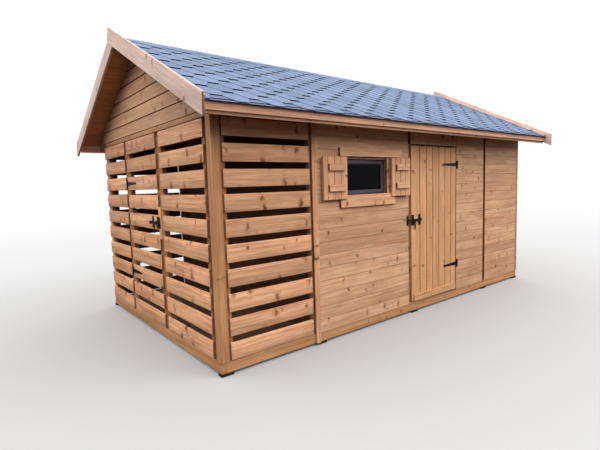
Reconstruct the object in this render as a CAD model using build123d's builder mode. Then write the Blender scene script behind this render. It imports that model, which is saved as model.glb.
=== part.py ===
"""Timber log store with a closed room beside it under one gabled roof, in millimetres.

X runs along the front from the slatted store to the room, the front faces -Y,
and Z is up from the ground. The origin is on the ground at the middle of the plan.
"""
import os
from math import atan, ceil, cos, sin, tan

from build123d import *

os.makedirs("parts", exist_ok=True)

# Plan
length = 4930
depth = 2860
left_overhang = 235
right_overhang = 215
store_length = 995
left = left_overhang - (left_overhang + length + right_overhang) / 2
right = left + length
front = -depth / 2
back = depth / 2
joint_x = left + store_length
module_gap = 2

# Timber sections
board_t = 18
stud_w = 45
stud_d = 45
wall_t = board_t + stud_d
sill_h = 86
sill_w = 40
sill_setback = 6
floor_t = 19
joist_w = 45
joist_pitch = 410
post_w = 76
corner_w = 58
plate_w = 45
plate_h = 70
stud_pitch = 480

# Packers that keep the sills off the ground
pad_h = 22
pad_length = 110
pad_width = 60

# Heights, from the packers up to the wall plates
threshold_h = 106
room_door_h = 1740
header_gap = 12
header_h = 172
sill_top = pad_h + sill_h
room_door_base = pad_h + threshold_h
room_door_top = room_door_base + room_door_h
header_base = room_door_top + header_gap
wall_top = header_base + header_h
wall_h = wall_top - sill_top
rail_h = 45
plate_top = wall_top + plate_h

# Slats
slat_count = 10
slat_h = 141
slat_lift = 6
slat_head_gap = 51
slat_pitch = (wall_h - slat_lift - slat_h - slat_head_gap) / (slat_count - 1)
slat_end_gap = 18
store_end_gap = 47
side_slat_start = 130
side_slat_back_inset = 15
latch_post_w = 100
latch_post_show = 77
hinge_post_w = 90
hinge_post_show = 58
slat_base = sill_top + slat_lift

# Roof
roof_slope = atan(0.5)
roof_rise_at_wall = 124
deck_t = 18
shingle_t = 8
rafter_w = 45
rafter_d = 70
middle_rafters_from_left = (2010, 3000)
eave_overhang = 275
fascia_t = 18
fascia_h = 58
fascia_lift = 8
fascia_strip_t = 16
fascia_strip_drop = 24
shingle_lip = 18
barge_t = 22
barge_h = 140
barge_above_deck = 60
barge_reach = 88
verge_w = 45
verge_t = 20
verge_gap = 4
ridge_board_t = 28
ridge_board_h = 110
ridge_cap_w = 150
ridge_cap_t = 5

# Doors
door_gap = 8
door_lift = 8
stop_gap = 5
room_door_from_left = 2390
room_door_w = 893
room_door_x = left + room_door_from_left
door_recess_w = 47
jamb_lap = 22
header_t = 30
ledge_h = 95
ledge_t = 27
ledge_inset = 38
ledge_end_drop = 160
weather_bar_h = 74
weather_bar_t = 14
weather_bar_left = 38
weather_bar_right = 20
store_door_from_front = 1130
store_door_w = 870
store_door_y = front + store_door_from_front

# T hinges
pin_r = 3
pin_clearance = 0.5
knuckle_r = 6
knuckle_h = 36
leaf_t = 3
leaf_w = 42
leaf_h = 98
strap_length = 272
strap_root_w = 44
strap_tip_w = 20
lower_hinge_h = 423
upper_hinge_h = 1640
room_hinge_heights = (pad_h + lower_hinge_h, pad_h + upper_hinge_h)
store_hinge_slats = (2, 7)

# Latches
room_latch_h = 1026
latch_z = pad_h + room_latch_h
store_latch_slat = 5
latch_plate_t = 3
latch_plate_w = 44
latch_plate_h = 118
latch_plate_edges = (6, 128)
latch_bar_t = 10
latch_bar_h = 22
latch_stand = 9
latch_overlap = 24
latch_guide_w = 26
latch_guide_wall = 4
latch_lever_x = 58
latch_lever_w = 18
latch_lever_tip_w = 11
latch_lever_t = 6
latch_lever_drop = 104
keeper_w = 34
keeper_h = 110
keeper_shelf = 28
keeper_clearance = 6
keeper_edge = 10
backing_w = 50
backing_h = 306
backing_t = 16

# Window and shutters
window_from_left = 1405
window_sill_h = 1340
window_x = left + window_from_left
window_w = 582
window_z = pad_h + window_sill_h
window_h = 365
window_recess = 35
window_fit = 3
window_bar = 36
window_bar_t = 28
head_bead_h = 22
head_bead_recess = 14
glass_t = 4
casing_t = 26
top_casing_h = 82
bottom_casing_h = 115
casing_reach = 105
top_casing_reach = 209
top_casing = (window_x - casing_reach, window_x + window_w + top_casing_reach)
bottom_casing = (window_x - casing_reach, window_x + window_w + casing_reach)
shutter_w = 304
left_shutter_gap = 34
right_shutter_gap = 31
shutter_x = (window_x - left_shutter_gap - shutter_w, window_x + window_w + right_shutter_gap)
shutter_drop = 34
shutter_clear = 3
shutter_z = window_z - shutter_drop
shutter_h = window_h + shutter_drop - shutter_clear
shutter_batten_h = 63
shutter_batten_t = 20
shutter_batten_inset = 62
shutter_batten_margin = 40
shutter_batten_heights = (75, 264)
shutter_packer_inset = 66

# Wall joints and strips
last_panel_from_left = 3984
last_panel_x = left + last_panel_from_left
panel_gap = 14
cover_w = 55
cover_t = 16

# Roof lines, as heights over the front wall face
slope = tan(roof_slope)
over = 1 / cos(roof_slope)
deck_under = wall_top + roof_rise_at_wall
ridge_under = deck_under + slope * depth / 2
deck_rise = deck_t * over
shingle_rise = shingle_t * over
rafter_rise = rafter_d * over
deck_span = (left - left_overhang + barge_t, right + right_overhang - barge_t)


def rectangle(u0, u1, v0, v1, mode=Mode.ADD):
    """A rectangle between two corners of the current sketch."""
    with Locations(((u0 + u1) / 2, (v0 + v1) / 2)):
        Rectangle(u1 - u0, v1 - v0, mode=mode)


def outline(*points):
    """A closed straight outline in the current sketch."""
    Polygon(*points, align=None)


def save(piece, name):
    """Label a finished piece and write it to its own file."""
    piece.part.label = name
    export_step(piece.part, f"parts/{name}.step")


def bays(u0, u1, v0, v1):
    """Open bays between evenly spaced studs, cut from a framed panel."""
    count = max(1, ceil((u1 - u0) / stud_pitch))
    step = (u1 - u0 - stud_w) / count
    for index in range(count):
        start = u0 + stud_w + index * step
        rectangle(start, start + step - stud_w, v0 + stud_w, v1 - stud_w, mode=Mode.SUBTRACT)


def wall_panel(plane, inward, u0, u1, v0, v1):
    """Boards on the outer face with a stud frame behind them."""
    with BuildPart() as panel:
        with BuildSketch(plane):
            rectangle(u0, u1, v0, v1)
        extrude(amount=inward * board_t)
        with BuildSketch(plane.offset(inward * board_t)):
            rectangle(u0, u1, v0, v1)
            bays(u0, u1, v0, v1)
        extrude(amount=inward * stud_d)
    return panel


def slat_panel(plane, inward, u0, u1, studs, v0, v1):
    """Spaced boards nailed to upright studs and a top rail."""
    with BuildPart() as panel:
        with BuildSketch(plane):
            for index in range(slat_count):
                base = slat_base + index * slat_pitch
                rectangle(u0, u1, base, base + slat_h)
        extrude(amount=inward * board_t)
        with BuildSketch(plane.offset(inward * board_t)):
            for start, end in studs:
                rectangle(start, end, v0, v1)
            rectangle(studs[0][0], studs[-1][1], v1 - stud_w, v1)
        extrude(amount=inward * stud_d)
    return panel


front_plane = Plane.XZ.offset(-front)
back_plane = Plane.XZ.offset(-back)
left_plane = Plane.YZ.offset(left)
right_plane = Plane.YZ.offset(right)


# Joists of the two floors, evenly spaced between the end sills and the module joint
sill_edge = sill_setback + sill_w
store_floor_x = (left + sill_edge, joint_x - module_gap / 2)
room_floor_x = (joint_x + module_gap / 2, right - sill_edge)
floor_y = (front + sill_edge, back - sill_edge)


def joist_starts(x0, x1):
    count = ceil((x1 - x0 - joist_w) / joist_pitch)
    step = (x1 - x0 - joist_w) / count
    return [x0 + index * step for index in range(count + 1)]


joist_xs = joist_starts(*store_floor_x) + joist_starts(*room_floor_x)
with BuildPart() as floor_joists:
    with BuildSketch(Plane.XY.offset(pad_h)):
        for start in joist_xs:
            rectangle(start, start + joist_w, floor_y[0], floor_y[1])
    extrude(amount=sill_h - floor_t)
save(floor_joists, "floor_joists")

# Packers under the sills, and under every third joist in the middle
edge_pad_xs = (left + pad_length / 2, joint_x + pad_length / 2, 0, last_panel_x, right - pad_length / 2)
edge_pad_y = depth / 2 - pad_width / 2
with BuildPart() as ground_pads:
    with BuildSketch(Plane.XY):
        with Locations(*[(x, y) for x in edge_pad_xs for y in (-edge_pad_y, edge_pad_y)]):
            Rectangle(pad_length, pad_width)
        with Locations(*[(start + joist_w / 2, 0) for start in joist_xs[1::3]]):
            Rectangle(pad_length, pad_width)
    extrude(amount=pad_h)
save(ground_pads, "ground_pads")


# Sills
def sills(spans, y0, y1):
    with BuildPart() as piece:
        with BuildSketch(Plane.XY.offset(pad_h)):
            for x0, x1 in spans:
                rectangle(x0, x1, y0, y1)
        extrude(amount=sill_h)
    return piece


end_spans = [(left + sill_setback, left + sill_edge), (right - sill_edge, right - sill_setback)]
save(sills(end_spans, front + sill_setback, back - sill_setback), "end_sills")
for side, edge in (("front", front + sill_setback), ("back", back - sill_edge)):
    save(sills((store_floor_x, room_floor_x), edge, edge + sill_w), f"{side}_sills")


# Floor boards
def floor(x0, x1):
    with BuildPart() as piece:
        with BuildSketch(Plane.XY.offset(sill_top - floor_t)):
            rectangle(x0, x1, *floor_y)
        extrude(amount=floor_t)
    return piece


save(floor(*store_floor_x), "store_floor")
save(floor(*room_floor_x), "room_floor")


# Corner posts of the open store and of the room
with BuildPart() as store_posts:
    with BuildSketch(Plane.XY.offset(sill_top)):
        rectangle(left, left + post_w, front, front + post_w)
        rectangle(left + board_t, left + post_w, back - post_w, back)
    extrude(amount=wall_h)
save(store_posts, "store_posts")

with BuildPart() as room_posts:
    with BuildSketch(Plane.XY.offset(sill_top)):
        rectangle(right - corner_w, right, front, front + wall_t)
        rectangle(right - corner_w, right, back - wall_t, back)
    extrude(amount=wall_h)
save(room_posts, "room_posts")

# Slatted bays of the store
bay_x = (left + post_w + slat_end_gap, joint_x - store_end_gap)
bay_end = joint_x - module_gap / 2
bay_studs = ((left + post_w, left + post_w + stud_w), (bay_end - stud_w, bay_end))
save(slat_panel(front_plane, -1, *bay_x, bay_studs, sill_top, wall_top), "front_slats")
save(slat_panel(back_plane, 1, *bay_x, bay_studs, sill_top, wall_top), "back_slats")

# Slatted panels beside the store door, whose posts stand out from under the ends of the slats
rail_base = wall_top - rail_h
latch_post_y = store_door_y - door_gap
hinge_post_y = store_door_y + store_door_w + door_gap
side_near = (front + side_slat_start, latch_post_y - latch_post_show)
side_far = (hinge_post_y + hinge_post_show, back - side_slat_back_inset)
side_near_studs = ((side_near[0], side_near[0] + stud_w), (latch_post_y - latch_post_w, latch_post_y))
side_far_studs = ((hinge_post_y, hinge_post_y + hinge_post_w), (back - post_w - stud_w, back - post_w))
save(slat_panel(left_plane, 1, *side_near, side_near_studs, sill_top, rail_base), "side_slats_near")
save(slat_panel(left_plane, 1, *side_far, side_far_studs, sill_top, rail_base), "side_slats_far")

with BuildPart() as gable_rail:
    with BuildSketch(left_plane):
        rectangle(front + post_w, back - post_w, rail_base, wall_top)
    extrude(amount=plate_w)
save(gable_rail, "gable_rail")

# Boarded wall between store and room
partition_x = joint_x + module_gap / 2 + stud_w
partition_y = (front + wall_t, back - wall_t)


def deck_under_at(y):
    return deck_under + slope * (depth / 2 - abs(y))


with BuildPart() as partition:
    with BuildSketch(Plane.YZ.offset(partition_x)):
        rectangle(*partition_y, sill_top, wall_top)
    extrude(amount=-board_t)
    with BuildSketch(Plane.YZ.offset(partition_x)):
        rectangle(*partition_y, sill_top, wall_top)
        bays(*partition_y, sill_top, wall_top)
    extrude(amount=stud_d)
save(partition, "partition")

# Closed walls of the room
room_x = (joint_x + module_gap / 2, right)
recess_x = room_door_x - door_recess_w
hinge_wall_x = room_door_x + room_door_w + door_gap

with BuildPart() as window_wall:
    with BuildSketch(front_plane):
        rectangle(room_x[0], recess_x, sill_top, wall_top)
        rectangle(window_x, window_x + window_w, window_z, window_z + window_h, mode=Mode.SUBTRACT)
    extrude(amount=-board_t)
    with BuildSketch(front_plane.offset(-board_t)):
        rectangle(room_x[0], recess_x, sill_top, wall_top)
        bays(room_x[0], window_x, sill_top, wall_top)
        bays(window_x + window_w, recess_x, sill_top, wall_top)
        bays(window_x - stud_w, window_x + window_w + stud_w, sill_top, window_z)
        bays(window_x - stud_w, window_x + window_w + stud_w, window_z + window_h, wall_top)
        rectangle(window_x, window_x + window_w, window_z, window_z + window_h, mode=Mode.SUBTRACT)
    extrude(amount=-stud_d)
save(window_wall, "window_wall")

end_x = (last_panel_x, right - corner_w)
save(wall_panel(front_plane, -1, hinge_wall_x, last_panel_x - panel_gap, sill_top, wall_top), "front_wall_mid")
save(wall_panel(front_plane, -1, *end_x, sill_top, wall_top), "front_wall_end")
save(wall_panel(back_plane, 1, room_x[0], last_panel_x - panel_gap, sill_top, wall_top), "back_wall_mid")
save(wall_panel(back_plane, 1, *end_x, sill_top, wall_top), "back_wall_end")
save(wall_panel(right_plane, -1, front + wall_t, back - wall_t, sill_top, wall_top), "end_wall")

# The header is set back from the wall face, level with the studs behind
with BuildPart() as door_header:
    with BuildSketch(front_plane.offset(-wall_t)):
        rectangle(recess_x, hinge_wall_x, header_base, wall_top)
    extrude(amount=header_t)
save(door_header, "door_header")

# Threshold and jambs of the room door
jamb_y = front + board_t + stop_gap
with BuildPart() as door_surround:
    with BuildSketch(Plane.XY.offset(sill_top)):
        rectangle(recess_x, hinge_wall_x, front, front + board_t)
    extrude(amount=room_door_base - door_lift - sill_top)
    with BuildSketch(Plane.XY.offset(sill_top)):
        rectangle(recess_x, room_door_x + jamb_lap, jamb_y, front + wall_t)
        rectangle(hinge_wall_x - door_gap - jamb_lap, hinge_wall_x, jamb_y, front + wall_t)
    extrude(amount=header_base - sill_top)
save(door_surround, "door_surround")


# Gable ends above the wall panels
def gable(plane, inward):
    with BuildPart() as piece:
        with BuildSketch(plane):
            outline(
                (front, wall_top),
                (back, wall_top),
                (back, deck_under),
                (0, ridge_under),
                (front, deck_under),
            )
        extrude(amount=inward * board_t)
    return piece


save(gable(left_plane, 1), "left_gable")
save(gable(right_plane, -1), "right_gable")

# The boards over the partition are notched round the ridge board and the wall plates
with BuildPart() as partition_gable:
    with BuildSketch(Plane.YZ.offset(partition_x - board_t)):
        outline(
            (partition_y[0], wall_top),
            (partition_y[1], wall_top),
            (partition_y[1], deck_under_at(partition_y[1])),
            (0, ridge_under),
            (partition_y[0], deck_under_at(partition_y[0])),
        )
        rectangle(
            -ridge_board_t / 2, ridge_board_t / 2, ridge_under - ridge_board_h, ridge_under, mode=Mode.SUBTRACT
        )
    extrude(amount=board_t)
save(partition_gable, "partition_gable")


# Wall plates, rafters and ridge board
with BuildPart() as wall_plates:
    with BuildSketch(Plane.XY.offset(wall_top)):
        for edge in (front, back - plate_w):
            rectangle(left + board_t, right - board_t, edge, edge + plate_w)
    extrude(amount=plate_h)
save(wall_plates, "wall_plates")

rafter_tail = front - eave_overhang + fascia_t + fascia_strip_t
rafter_foot = front + plate_w
rafter_head = -ridge_board_t / 2
rafter_xs = (
    left + board_t,
    partition_x - board_t - rafter_w,
    partition_x,
    *[left + step for step in middle_rafters_from_left],
    last_panel_x,
    right - board_t - rafter_w,
)


# Each slope's rafters are notched over the wall plate, side -1 at the front and 1 at the back
with BuildPart() as rafters:
    for side in (-1, 1):
        for start in rafter_xs:
            with BuildSketch(Plane.YZ.offset(start)):
                outline(
                    (-side * rafter_tail, deck_under_at(rafter_tail)),
                    (-side * rafter_head, deck_under_at(rafter_head)),
                    (-side * rafter_head, deck_under_at(rafter_head) - rafter_rise),
                    (-side * rafter_foot, deck_under_at(rafter_foot) - rafter_rise),
                    (-side * rafter_foot, plate_top),
                    (-side * front, plate_top),
                    (-side * front, deck_under_at(front) - rafter_rise),
                    (-side * rafter_tail, deck_under_at(rafter_tail) - rafter_rise),
                )
            extrude(amount=rafter_w)
save(rafters, "rafters")

with BuildPart() as ridge_board:
    with BuildSketch(Plane.YZ.offset(left + board_t)):
        rectangle(-ridge_board_t / 2, ridge_board_t / 2, ridge_under - ridge_board_h, deck_under_at(rafter_head))
    extrude(amount=length - 2 * board_t)
save(ridge_board, "ridge_board")


# Roof deck and shingles
def roof_layer(side, x0, x1, eave, lift, rise):
    """A sloping layer from the ridge down to the eave, side -1 at the front and 1 at the back."""
    with BuildPart() as piece:
        with BuildSketch(Plane.YZ.offset(x0)):
            outline(
                (0, ridge_under + lift),
                (0, ridge_under + lift + rise),
                (-side * eave, deck_under_at(eave) + lift + rise),
                (-side * eave, deck_under_at(eave) + lift),
            )
        extrude(amount=x1 - x0)
    return piece


eave_y = front - eave_overhang
for side_name, side in (("front", -1), ("back", 1)):
    save(roof_layer(side, *deck_span, eave_y + fascia_t, 0, deck_rise), f"{side_name}_deck")
    shingles = roof_layer(side, *deck_span, eave_y - shingle_lip, deck_rise, shingle_rise)
    save(shingles, f"{side_name}_shingles")

cap_run = ridge_cap_w * cos(roof_slope)
cap_rise = ridge_cap_t * over
cap_base = ridge_under + deck_rise + shingle_rise
with BuildPart() as ridge_cap:
    with BuildSketch(Plane.YZ.offset(deck_span[0])):
        outline(
            (-cap_run, cap_base - slope * cap_run),
            (0, cap_base),
            (cap_run, cap_base - slope * cap_run),
            (cap_run, cap_base - slope * cap_run + cap_rise),
            (0, cap_base + cap_rise),
            (-cap_run, cap_base - slope * cap_run + cap_rise),
        )
    extrude(amount=deck_span[1] - deck_span[0])
save(ridge_cap, "ridge_cap")


# Battens along the verges, on the shingles beside the bargeboards
cap_edge = -cap_run - verge_gap
verge_lift = deck_rise + shingle_rise
verge_rise = verge_t * over
shingle_edge = eave_y - shingle_lip
with BuildPart() as verge_battens:
    for side in (-1, 1):
        for x0 in (deck_span[0], deck_span[1] - verge_w):
            with BuildSketch(Plane.YZ.offset(x0)):
                outline(
                    (-side * cap_edge, deck_under_at(cap_edge) + verge_lift),
                    (-side * cap_edge, deck_under_at(cap_edge) + verge_lift + verge_rise),
                    (-side * shingle_edge, deck_under_at(shingle_edge) + verge_lift + verge_rise),
                    (-side * shingle_edge, deck_under_at(shingle_edge) + verge_lift),
                )
            extrude(amount=verge_w)
save(verge_battens, "verge_battens")

# Eave fascias with a second strip behind
fascia_top = deck_under_at(eave_y) + fascia_lift
fascia_base = fascia_top - fascia_h
with BuildPart() as fascias:
    for side in (-1, 1):
        inner_edge = eave_y + fascia_t
        strip_edge = inner_edge + fascia_strip_t
        with BuildSketch(Plane.YZ.offset(deck_span[0])):
            outline(
                (-side * eave_y, fascia_top),
                (-side * inner_edge, fascia_top),
                (-side * inner_edge, deck_under_at(inner_edge)),
                (-side * strip_edge, deck_under_at(strip_edge)),
                (-side * strip_edge, fascia_base - fascia_strip_drop),
                (-side * inner_edge, fascia_base - fascia_strip_drop),
                (-side * inner_edge, fascia_base),
                (-side * eave_y, fascia_base),
            )
        extrude(amount=deck_span[1] - deck_span[0])
save(fascias, "fascias")


# Bargeboards
barge_end = eave_y - barge_reach
barge_rise = barge_h * over
barge_lift = barge_above_deck * over


barge_top_end = deck_under_at(barge_end) + deck_rise + barge_lift
barge_top_peak = ridge_under + deck_rise + barge_lift


# The front boards run on past the ridge to a square end, and the back boards butt under them
butt_y = barge_rise / (2 * slope)
butt_corner = (butt_y, barge_top_peak - slope * butt_y)
square_corner = (butt_y - barge_h * sin(roof_slope), butt_corner[1] + barge_h * cos(roof_slope))


def bargeboards(side, *peak):
    """The two boards of one slope, side -1 at the front and 1 at the back, with the corners at their peak."""
    with BuildPart() as piece:
        for x0 in (left - left_overhang, deck_span[1]):
            with BuildSketch(Plane.YZ.offset(x0)):
                outline(
                    (0, barge_top_peak - barge_rise),
                    *peak,
                    (-side * barge_end, barge_top_end),
                    (-side * barge_end, barge_top_end - barge_rise),
                )
            extrude(amount=barge_t)
    return piece


save(bargeboards(-1, butt_corner, square_corner), "front_bargeboards")
save(bargeboards(1, butt_corner), "back_bargeboards")

# Cover strips over the joints between the wall modules
cover_x = joint_x - cover_w / 2
with BuildPart() as cover_strips:
    with BuildSketch(Plane.XY.offset(pad_h)):
        rectangle(cover_x, cover_x + cover_w, front - cover_t, front)
        rectangle(cover_x, cover_x + cover_w, back, back + cover_t)
    extrude(amount=wall_top - pad_h)
save(cover_strips, "cover_strips")


# Window, casing and shutters
frame_x = window_x + window_fit
frame_z = window_z
frame_w = window_w - 2 * window_fit
frame_h = window_h - head_bead_h - window_fit
window_top = window_z + window_h
frame_plane = front_plane.offset(-window_recess)
with BuildPart() as window_frame:
    with BuildSketch(frame_plane):
        rectangle(frame_x, frame_x + frame_w, frame_z, frame_z + frame_h)
        rectangle(
            frame_x + window_bar,
            frame_x + frame_w - window_bar,
            frame_z + window_bar,
            frame_z + frame_h - window_bar,
            mode=Mode.SUBTRACT,
        )
    extrude(amount=-window_bar_t)
save(window_frame, "window_frame")

with BuildPart() as window_glass:
    with BuildSketch(frame_plane.offset(-(window_bar_t - glass_t) / 2)):
        rectangle(
            frame_x + window_bar,
            frame_x + frame_w - window_bar,
            frame_z + window_bar,
            frame_z + frame_h - window_bar,
        )
    extrude(amount=-glass_t)
save(window_glass, "window_glass")

# Casing boards on the wall and a bead that closes the opening above the frame
with BuildPart() as window_casing:
    with BuildSketch(front_plane):
        rectangle(*top_casing, window_top, window_top + top_casing_h)
        rectangle(*bottom_casing, window_z - bottom_casing_h, window_z)
    extrude(amount=casing_t)
    with BuildSketch(front_plane.offset(-head_bead_recess)):
        rectangle(window_x, window_x + window_w, window_top - head_bead_h, window_top)
    extrude(amount=-stud_d)
save(window_casing, "window_casing")


def shutter(x0):
    """Boards level with the casing's face, with battens in front and packers down to the wall."""
    x1 = x0 + shutter_w
    with BuildPart() as piece:
        with BuildSketch(front_plane.offset(casing_t)):
            rectangle(x0, x1, shutter_z, shutter_z + shutter_h)
        extrude(amount=board_t)
        with BuildSketch(front_plane.offset(casing_t + board_t)):
            for height in shutter_batten_heights:
                base = shutter_z + height
                rectangle(x0 + shutter_batten_inset, x1 - shutter_batten_margin, base, base + shutter_batten_h)
        extrude(amount=shutter_batten_t)
        with BuildSketch(front_plane):
            for height in shutter_batten_heights:
                base = shutter_z + height
                rectangle(x0 + shutter_packer_inset, x1 - shutter_packer_inset, base, base + shutter_batten_h)
        extrude(amount=casing_t)
    return piece


for name, x0 in zip(("left_shutter", "right_shutter"), shutter_x):
    save(shutter(x0), name)

# Room door with ledges behind its boards and a weather bar along its foot
ledge_span = (room_door_base + ledge_end_drop, room_door_top - ledge_end_drop)
with BuildPart() as room_door:
    with BuildSketch(front_plane):
        rectangle(room_door_x, room_door_x + room_door_w, room_door_base, room_door_top)
    extrude(amount=-board_t)
    with BuildSketch(front_plane.offset(-board_t)):
        for base in (ledge_span[0], (ledge_span[0] + ledge_span[1] - ledge_h) / 2, ledge_span[1] - ledge_h):
            rectangle(room_door_x + ledge_inset, room_door_x + room_door_w - ledge_inset, base, base + ledge_h)
    extrude(amount=-ledge_t)
    with BuildSketch(front_plane):
        bar_right = room_door_x + room_door_w - weather_bar_right
        rectangle(room_door_x + weather_bar_left, bar_right, room_door_base, room_door_base + weather_bar_h)
    extrude(amount=weather_bar_t)
save(room_door, "room_door")

# Store door, slatted like the panels beside it
store_door_side = (store_door_y, store_door_y + store_door_w)
with BuildPart() as store_door:
    with BuildSketch(left_plane):
        for index in range(slat_count):
            base = slat_base + index * slat_pitch
            rectangle(*store_door_side, base, base + slat_h)
    extrude(amount=board_t)
    with BuildSketch(left_plane.offset(board_t)):
        door_foot = slat_base
        door_head = slat_base + (slat_count - 1) * slat_pitch + slat_h
        rectangle(store_door_side[0], store_door_side[0] + stud_w, door_foot, door_head)
        rectangle(store_door_side[1] - stud_w, store_door_side[1], door_foot, door_head)
        rectangle(*store_door_side, door_head - stud_w, door_head)
        rectangle(*store_door_side, door_foot, door_foot + stud_w)
    extrude(amount=stud_d)
save(store_door, "store_door")


# T hinges: the strap and its middle knuckle turn on the pin of the fixed leaf
def hinge_straps(pin_x, pin_y, along, turn, heights):
    """Straps on the door; along is the strap's direction and turn the side of its door face."""
    with BuildPart() as piece:
        for height in heights:
            frame = Plane(origin=(pin_x, pin_y, height), x_dir=along, z_dir=(0, 0, 1))
            face = Plane(frame.from_local_coords(Vector(0, turn * knuckle_r, 0)), x_dir=along, z_dir=frame.y_dir)
            up = 1 if face.y_dir.Z > 0 else -1
            with BuildSketch(face):
                outline(
                    (0, -up * strap_root_w / 2),
                    (strap_length, -up * strap_tip_w / 2),
                    (strap_length, up * strap_tip_w / 2),
                    (0, up * strap_root_w / 2),
                )
            extrude(amount=-turn * leaf_t)
            with BuildSketch(frame.offset(-knuckle_h / 2)):
                Circle(knuckle_r)
            extrude(amount=knuckle_h)
        for height in heights:
            frame = Plane(origin=(pin_x, pin_y, height), x_dir=along, z_dir=(0, 0, 1))
            with BuildSketch(frame.offset(-strap_root_w)):
                Circle(pin_r + pin_clearance)
            extrude(amount=2 * strap_root_w, mode=Mode.SUBTRACT)
            with BuildSketch(frame.offset(knuckle_h / 2)):
                Circle(knuckle_r + pin_clearance)
            extrude(amount=strap_root_w, mode=Mode.SUBTRACT)
            with BuildSketch(frame.offset(-knuckle_h / 2)):
                Circle(knuckle_r + pin_clearance)
            extrude(amount=-strap_root_w, mode=Mode.SUBTRACT)
    return piece


def hinge_leaves(pin_x, pin_y, along, turn, heights):
    """Leaves on the frame beside the door, each with two knuckles and the pin."""
    with BuildPart(mode=Mode.PRIVATE) as piece:
        for height in heights:
            frame = Plane(origin=(pin_x, pin_y, height), x_dir=along, z_dir=(0, 0, 1))
            with BuildSketch(frame.offset(-leaf_h / 2)):
                rectangle(
                    -leaf_w,
                    -knuckle_r - pin_clearance,
                    min(turn * knuckle_r, turn * (knuckle_r - leaf_t)),
                    max(turn * knuckle_r, turn * (knuckle_r - leaf_t)),
                )
            extrude(amount=leaf_h)
            for start in (knuckle_h / 2 + pin_clearance, -leaf_h / 2):
                with BuildSketch(frame.offset(start)):
                    Circle(knuckle_r)
                    rectangle(
                        -leaf_w,
                        0,
                        min(turn * knuckle_r, turn * (knuckle_r - leaf_t)),
                        max(turn * knuckle_r, turn * (knuckle_r - leaf_t)),
                    )
                extrude(amount=(leaf_h - knuckle_h) / 2 - pin_clearance)
            with BuildSketch(frame.offset(-leaf_h / 2)):
                Circle(pin_r)
            extrude(amount=leaf_h)
    return piece.part


room_pin = (room_door_x + room_door_w + door_gap / 2, front - knuckle_r)
store_pin = (left - knuckle_r, store_door_y + store_door_w + door_gap / 2)
store_hinge_heights = [slat_base + row * slat_pitch + slat_h / 2 for row in store_hinge_slats]
save(hinge_straps(*room_pin, (-1, 0, 0), -1, room_hinge_heights), "room_hinge_straps")
save(hinge_straps(*store_pin, (0, -1, 0), 1, store_hinge_heights), "store_hinge_straps")
with BuildPart() as fixed_leaves:
    add(hinge_leaves(*room_pin, (-1, 0, 0), -1, room_hinge_heights))
    add(hinge_leaves(*store_pin, (0, -1, 0), 1, store_hinge_heights))
save(fixed_leaves, "hinge_leaves")


# Latches: a bar and lever in two guides on the door, and a keeper with a shelf under the bar on the frame
def latch_bar(edge, along, out, z, stand, reach):
    """Latch on a door edge; along points at the keeper and out is the side away from the door."""
    bar_out = stand + latch_bar_t
    with BuildPart() as piece:
        frame = Plane(origin=(*edge, z), x_dir=along, z_dir=(0, 0, 1))
        with BuildSketch(frame.offset(-latch_plate_h / 2)):
            for start in latch_plate_edges:
                rectangle(-start - latch_plate_w, -start, *sorted((0, out * latch_plate_t)))
        extrude(amount=latch_plate_h)
        with BuildSketch(frame.offset(-latch_bar_h / 2 - latch_guide_wall)):
            for start in latch_plate_edges:
                middle = -start - latch_plate_w / 2
                half = latch_guide_w / 2
                rectangle(middle - half, middle + half, *sorted((0, out * (bar_out + latch_guide_wall))))
        extrude(amount=latch_bar_h + 2 * latch_guide_wall)
        with BuildSketch(frame.offset(-latch_bar_h / 2)):
            bar_start = -latch_plate_edges[-1] - latch_plate_w
            rectangle(bar_start, reach, *sorted((out * stand, out * bar_out)))
        extrude(amount=latch_bar_h)
        face = Plane(frame.from_local_coords(Vector(0, out * stand, 0)), x_dir=along, z_dir=out * frame.y_dir)
        down = -1 if face.y_dir.Z > 0 else 1
        with BuildSketch(face):
            outline(
                (-latch_lever_x - latch_lever_w / 2, 0),
                (-latch_lever_x + latch_lever_w / 2, 0),
                (-latch_lever_x + latch_lever_tip_w / 2, down * latch_lever_drop),
                (-latch_lever_x - latch_lever_tip_w / 2, down * latch_lever_drop),
            )
        extrude(amount=latch_lever_t)
    return piece


def keeper(edge, along, out, z):
    """Keeper plate whose near edge is at the point given, with a shelf below the latch bar."""
    with BuildPart(mode=Mode.PRIVATE) as piece:
        frame = Plane(origin=(*edge, z), x_dir=along, z_dir=(0, 0, 1))
        with BuildSketch(frame.offset(-keeper_h / 2)):
            rectangle(0, keeper_w, *sorted((0, out * latch_plate_t)))
        extrude(amount=keeper_h)
        with BuildSketch(frame.offset(-latch_bar_h / 2 - keeper_clearance - latch_bar_t)):
            rectangle(0, keeper_shelf, *sorted((0, out * (latch_stand + latch_bar_t))))
        extrude(amount=latch_bar_t)
    return piece.part


store_latch_z = slat_base + store_latch_slat * slat_pitch + slat_h / 2
room_keeper_x = recess_x
store_keeper_y = side_near[1] + backing_w - keeper_edge
room_reach = room_door_x - room_keeper_x + latch_overlap
store_reach = store_door_y - store_keeper_y + latch_overlap
room_latch_edge = (room_door_x, front)
save(latch_bar(room_latch_edge, (-1, 0, 0), 1, latch_z, latch_stand, room_reach), "room_door_latch")

# Blocks on the posts beside the store door, behind the keeper and behind the hinge leaves
with BuildPart() as latch_backing:
    with BuildSketch(Plane.XY.offset(store_latch_z - backing_h / 2)):
        rectangle(left - backing_t, left + board_t, side_near[1], side_near[1] + backing_w)
    extrude(amount=backing_h)
save(latch_backing, "latch_backing")

with BuildPart() as hinge_packers:
    for height in store_hinge_heights:
        with BuildSketch(Plane.XY.offset(height - leaf_h / 2)):
            rectangle(left, left + board_t, hinge_post_y, side_far[0])
        extrude(amount=leaf_h)
save(hinge_packers, "hinge_packers")

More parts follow.
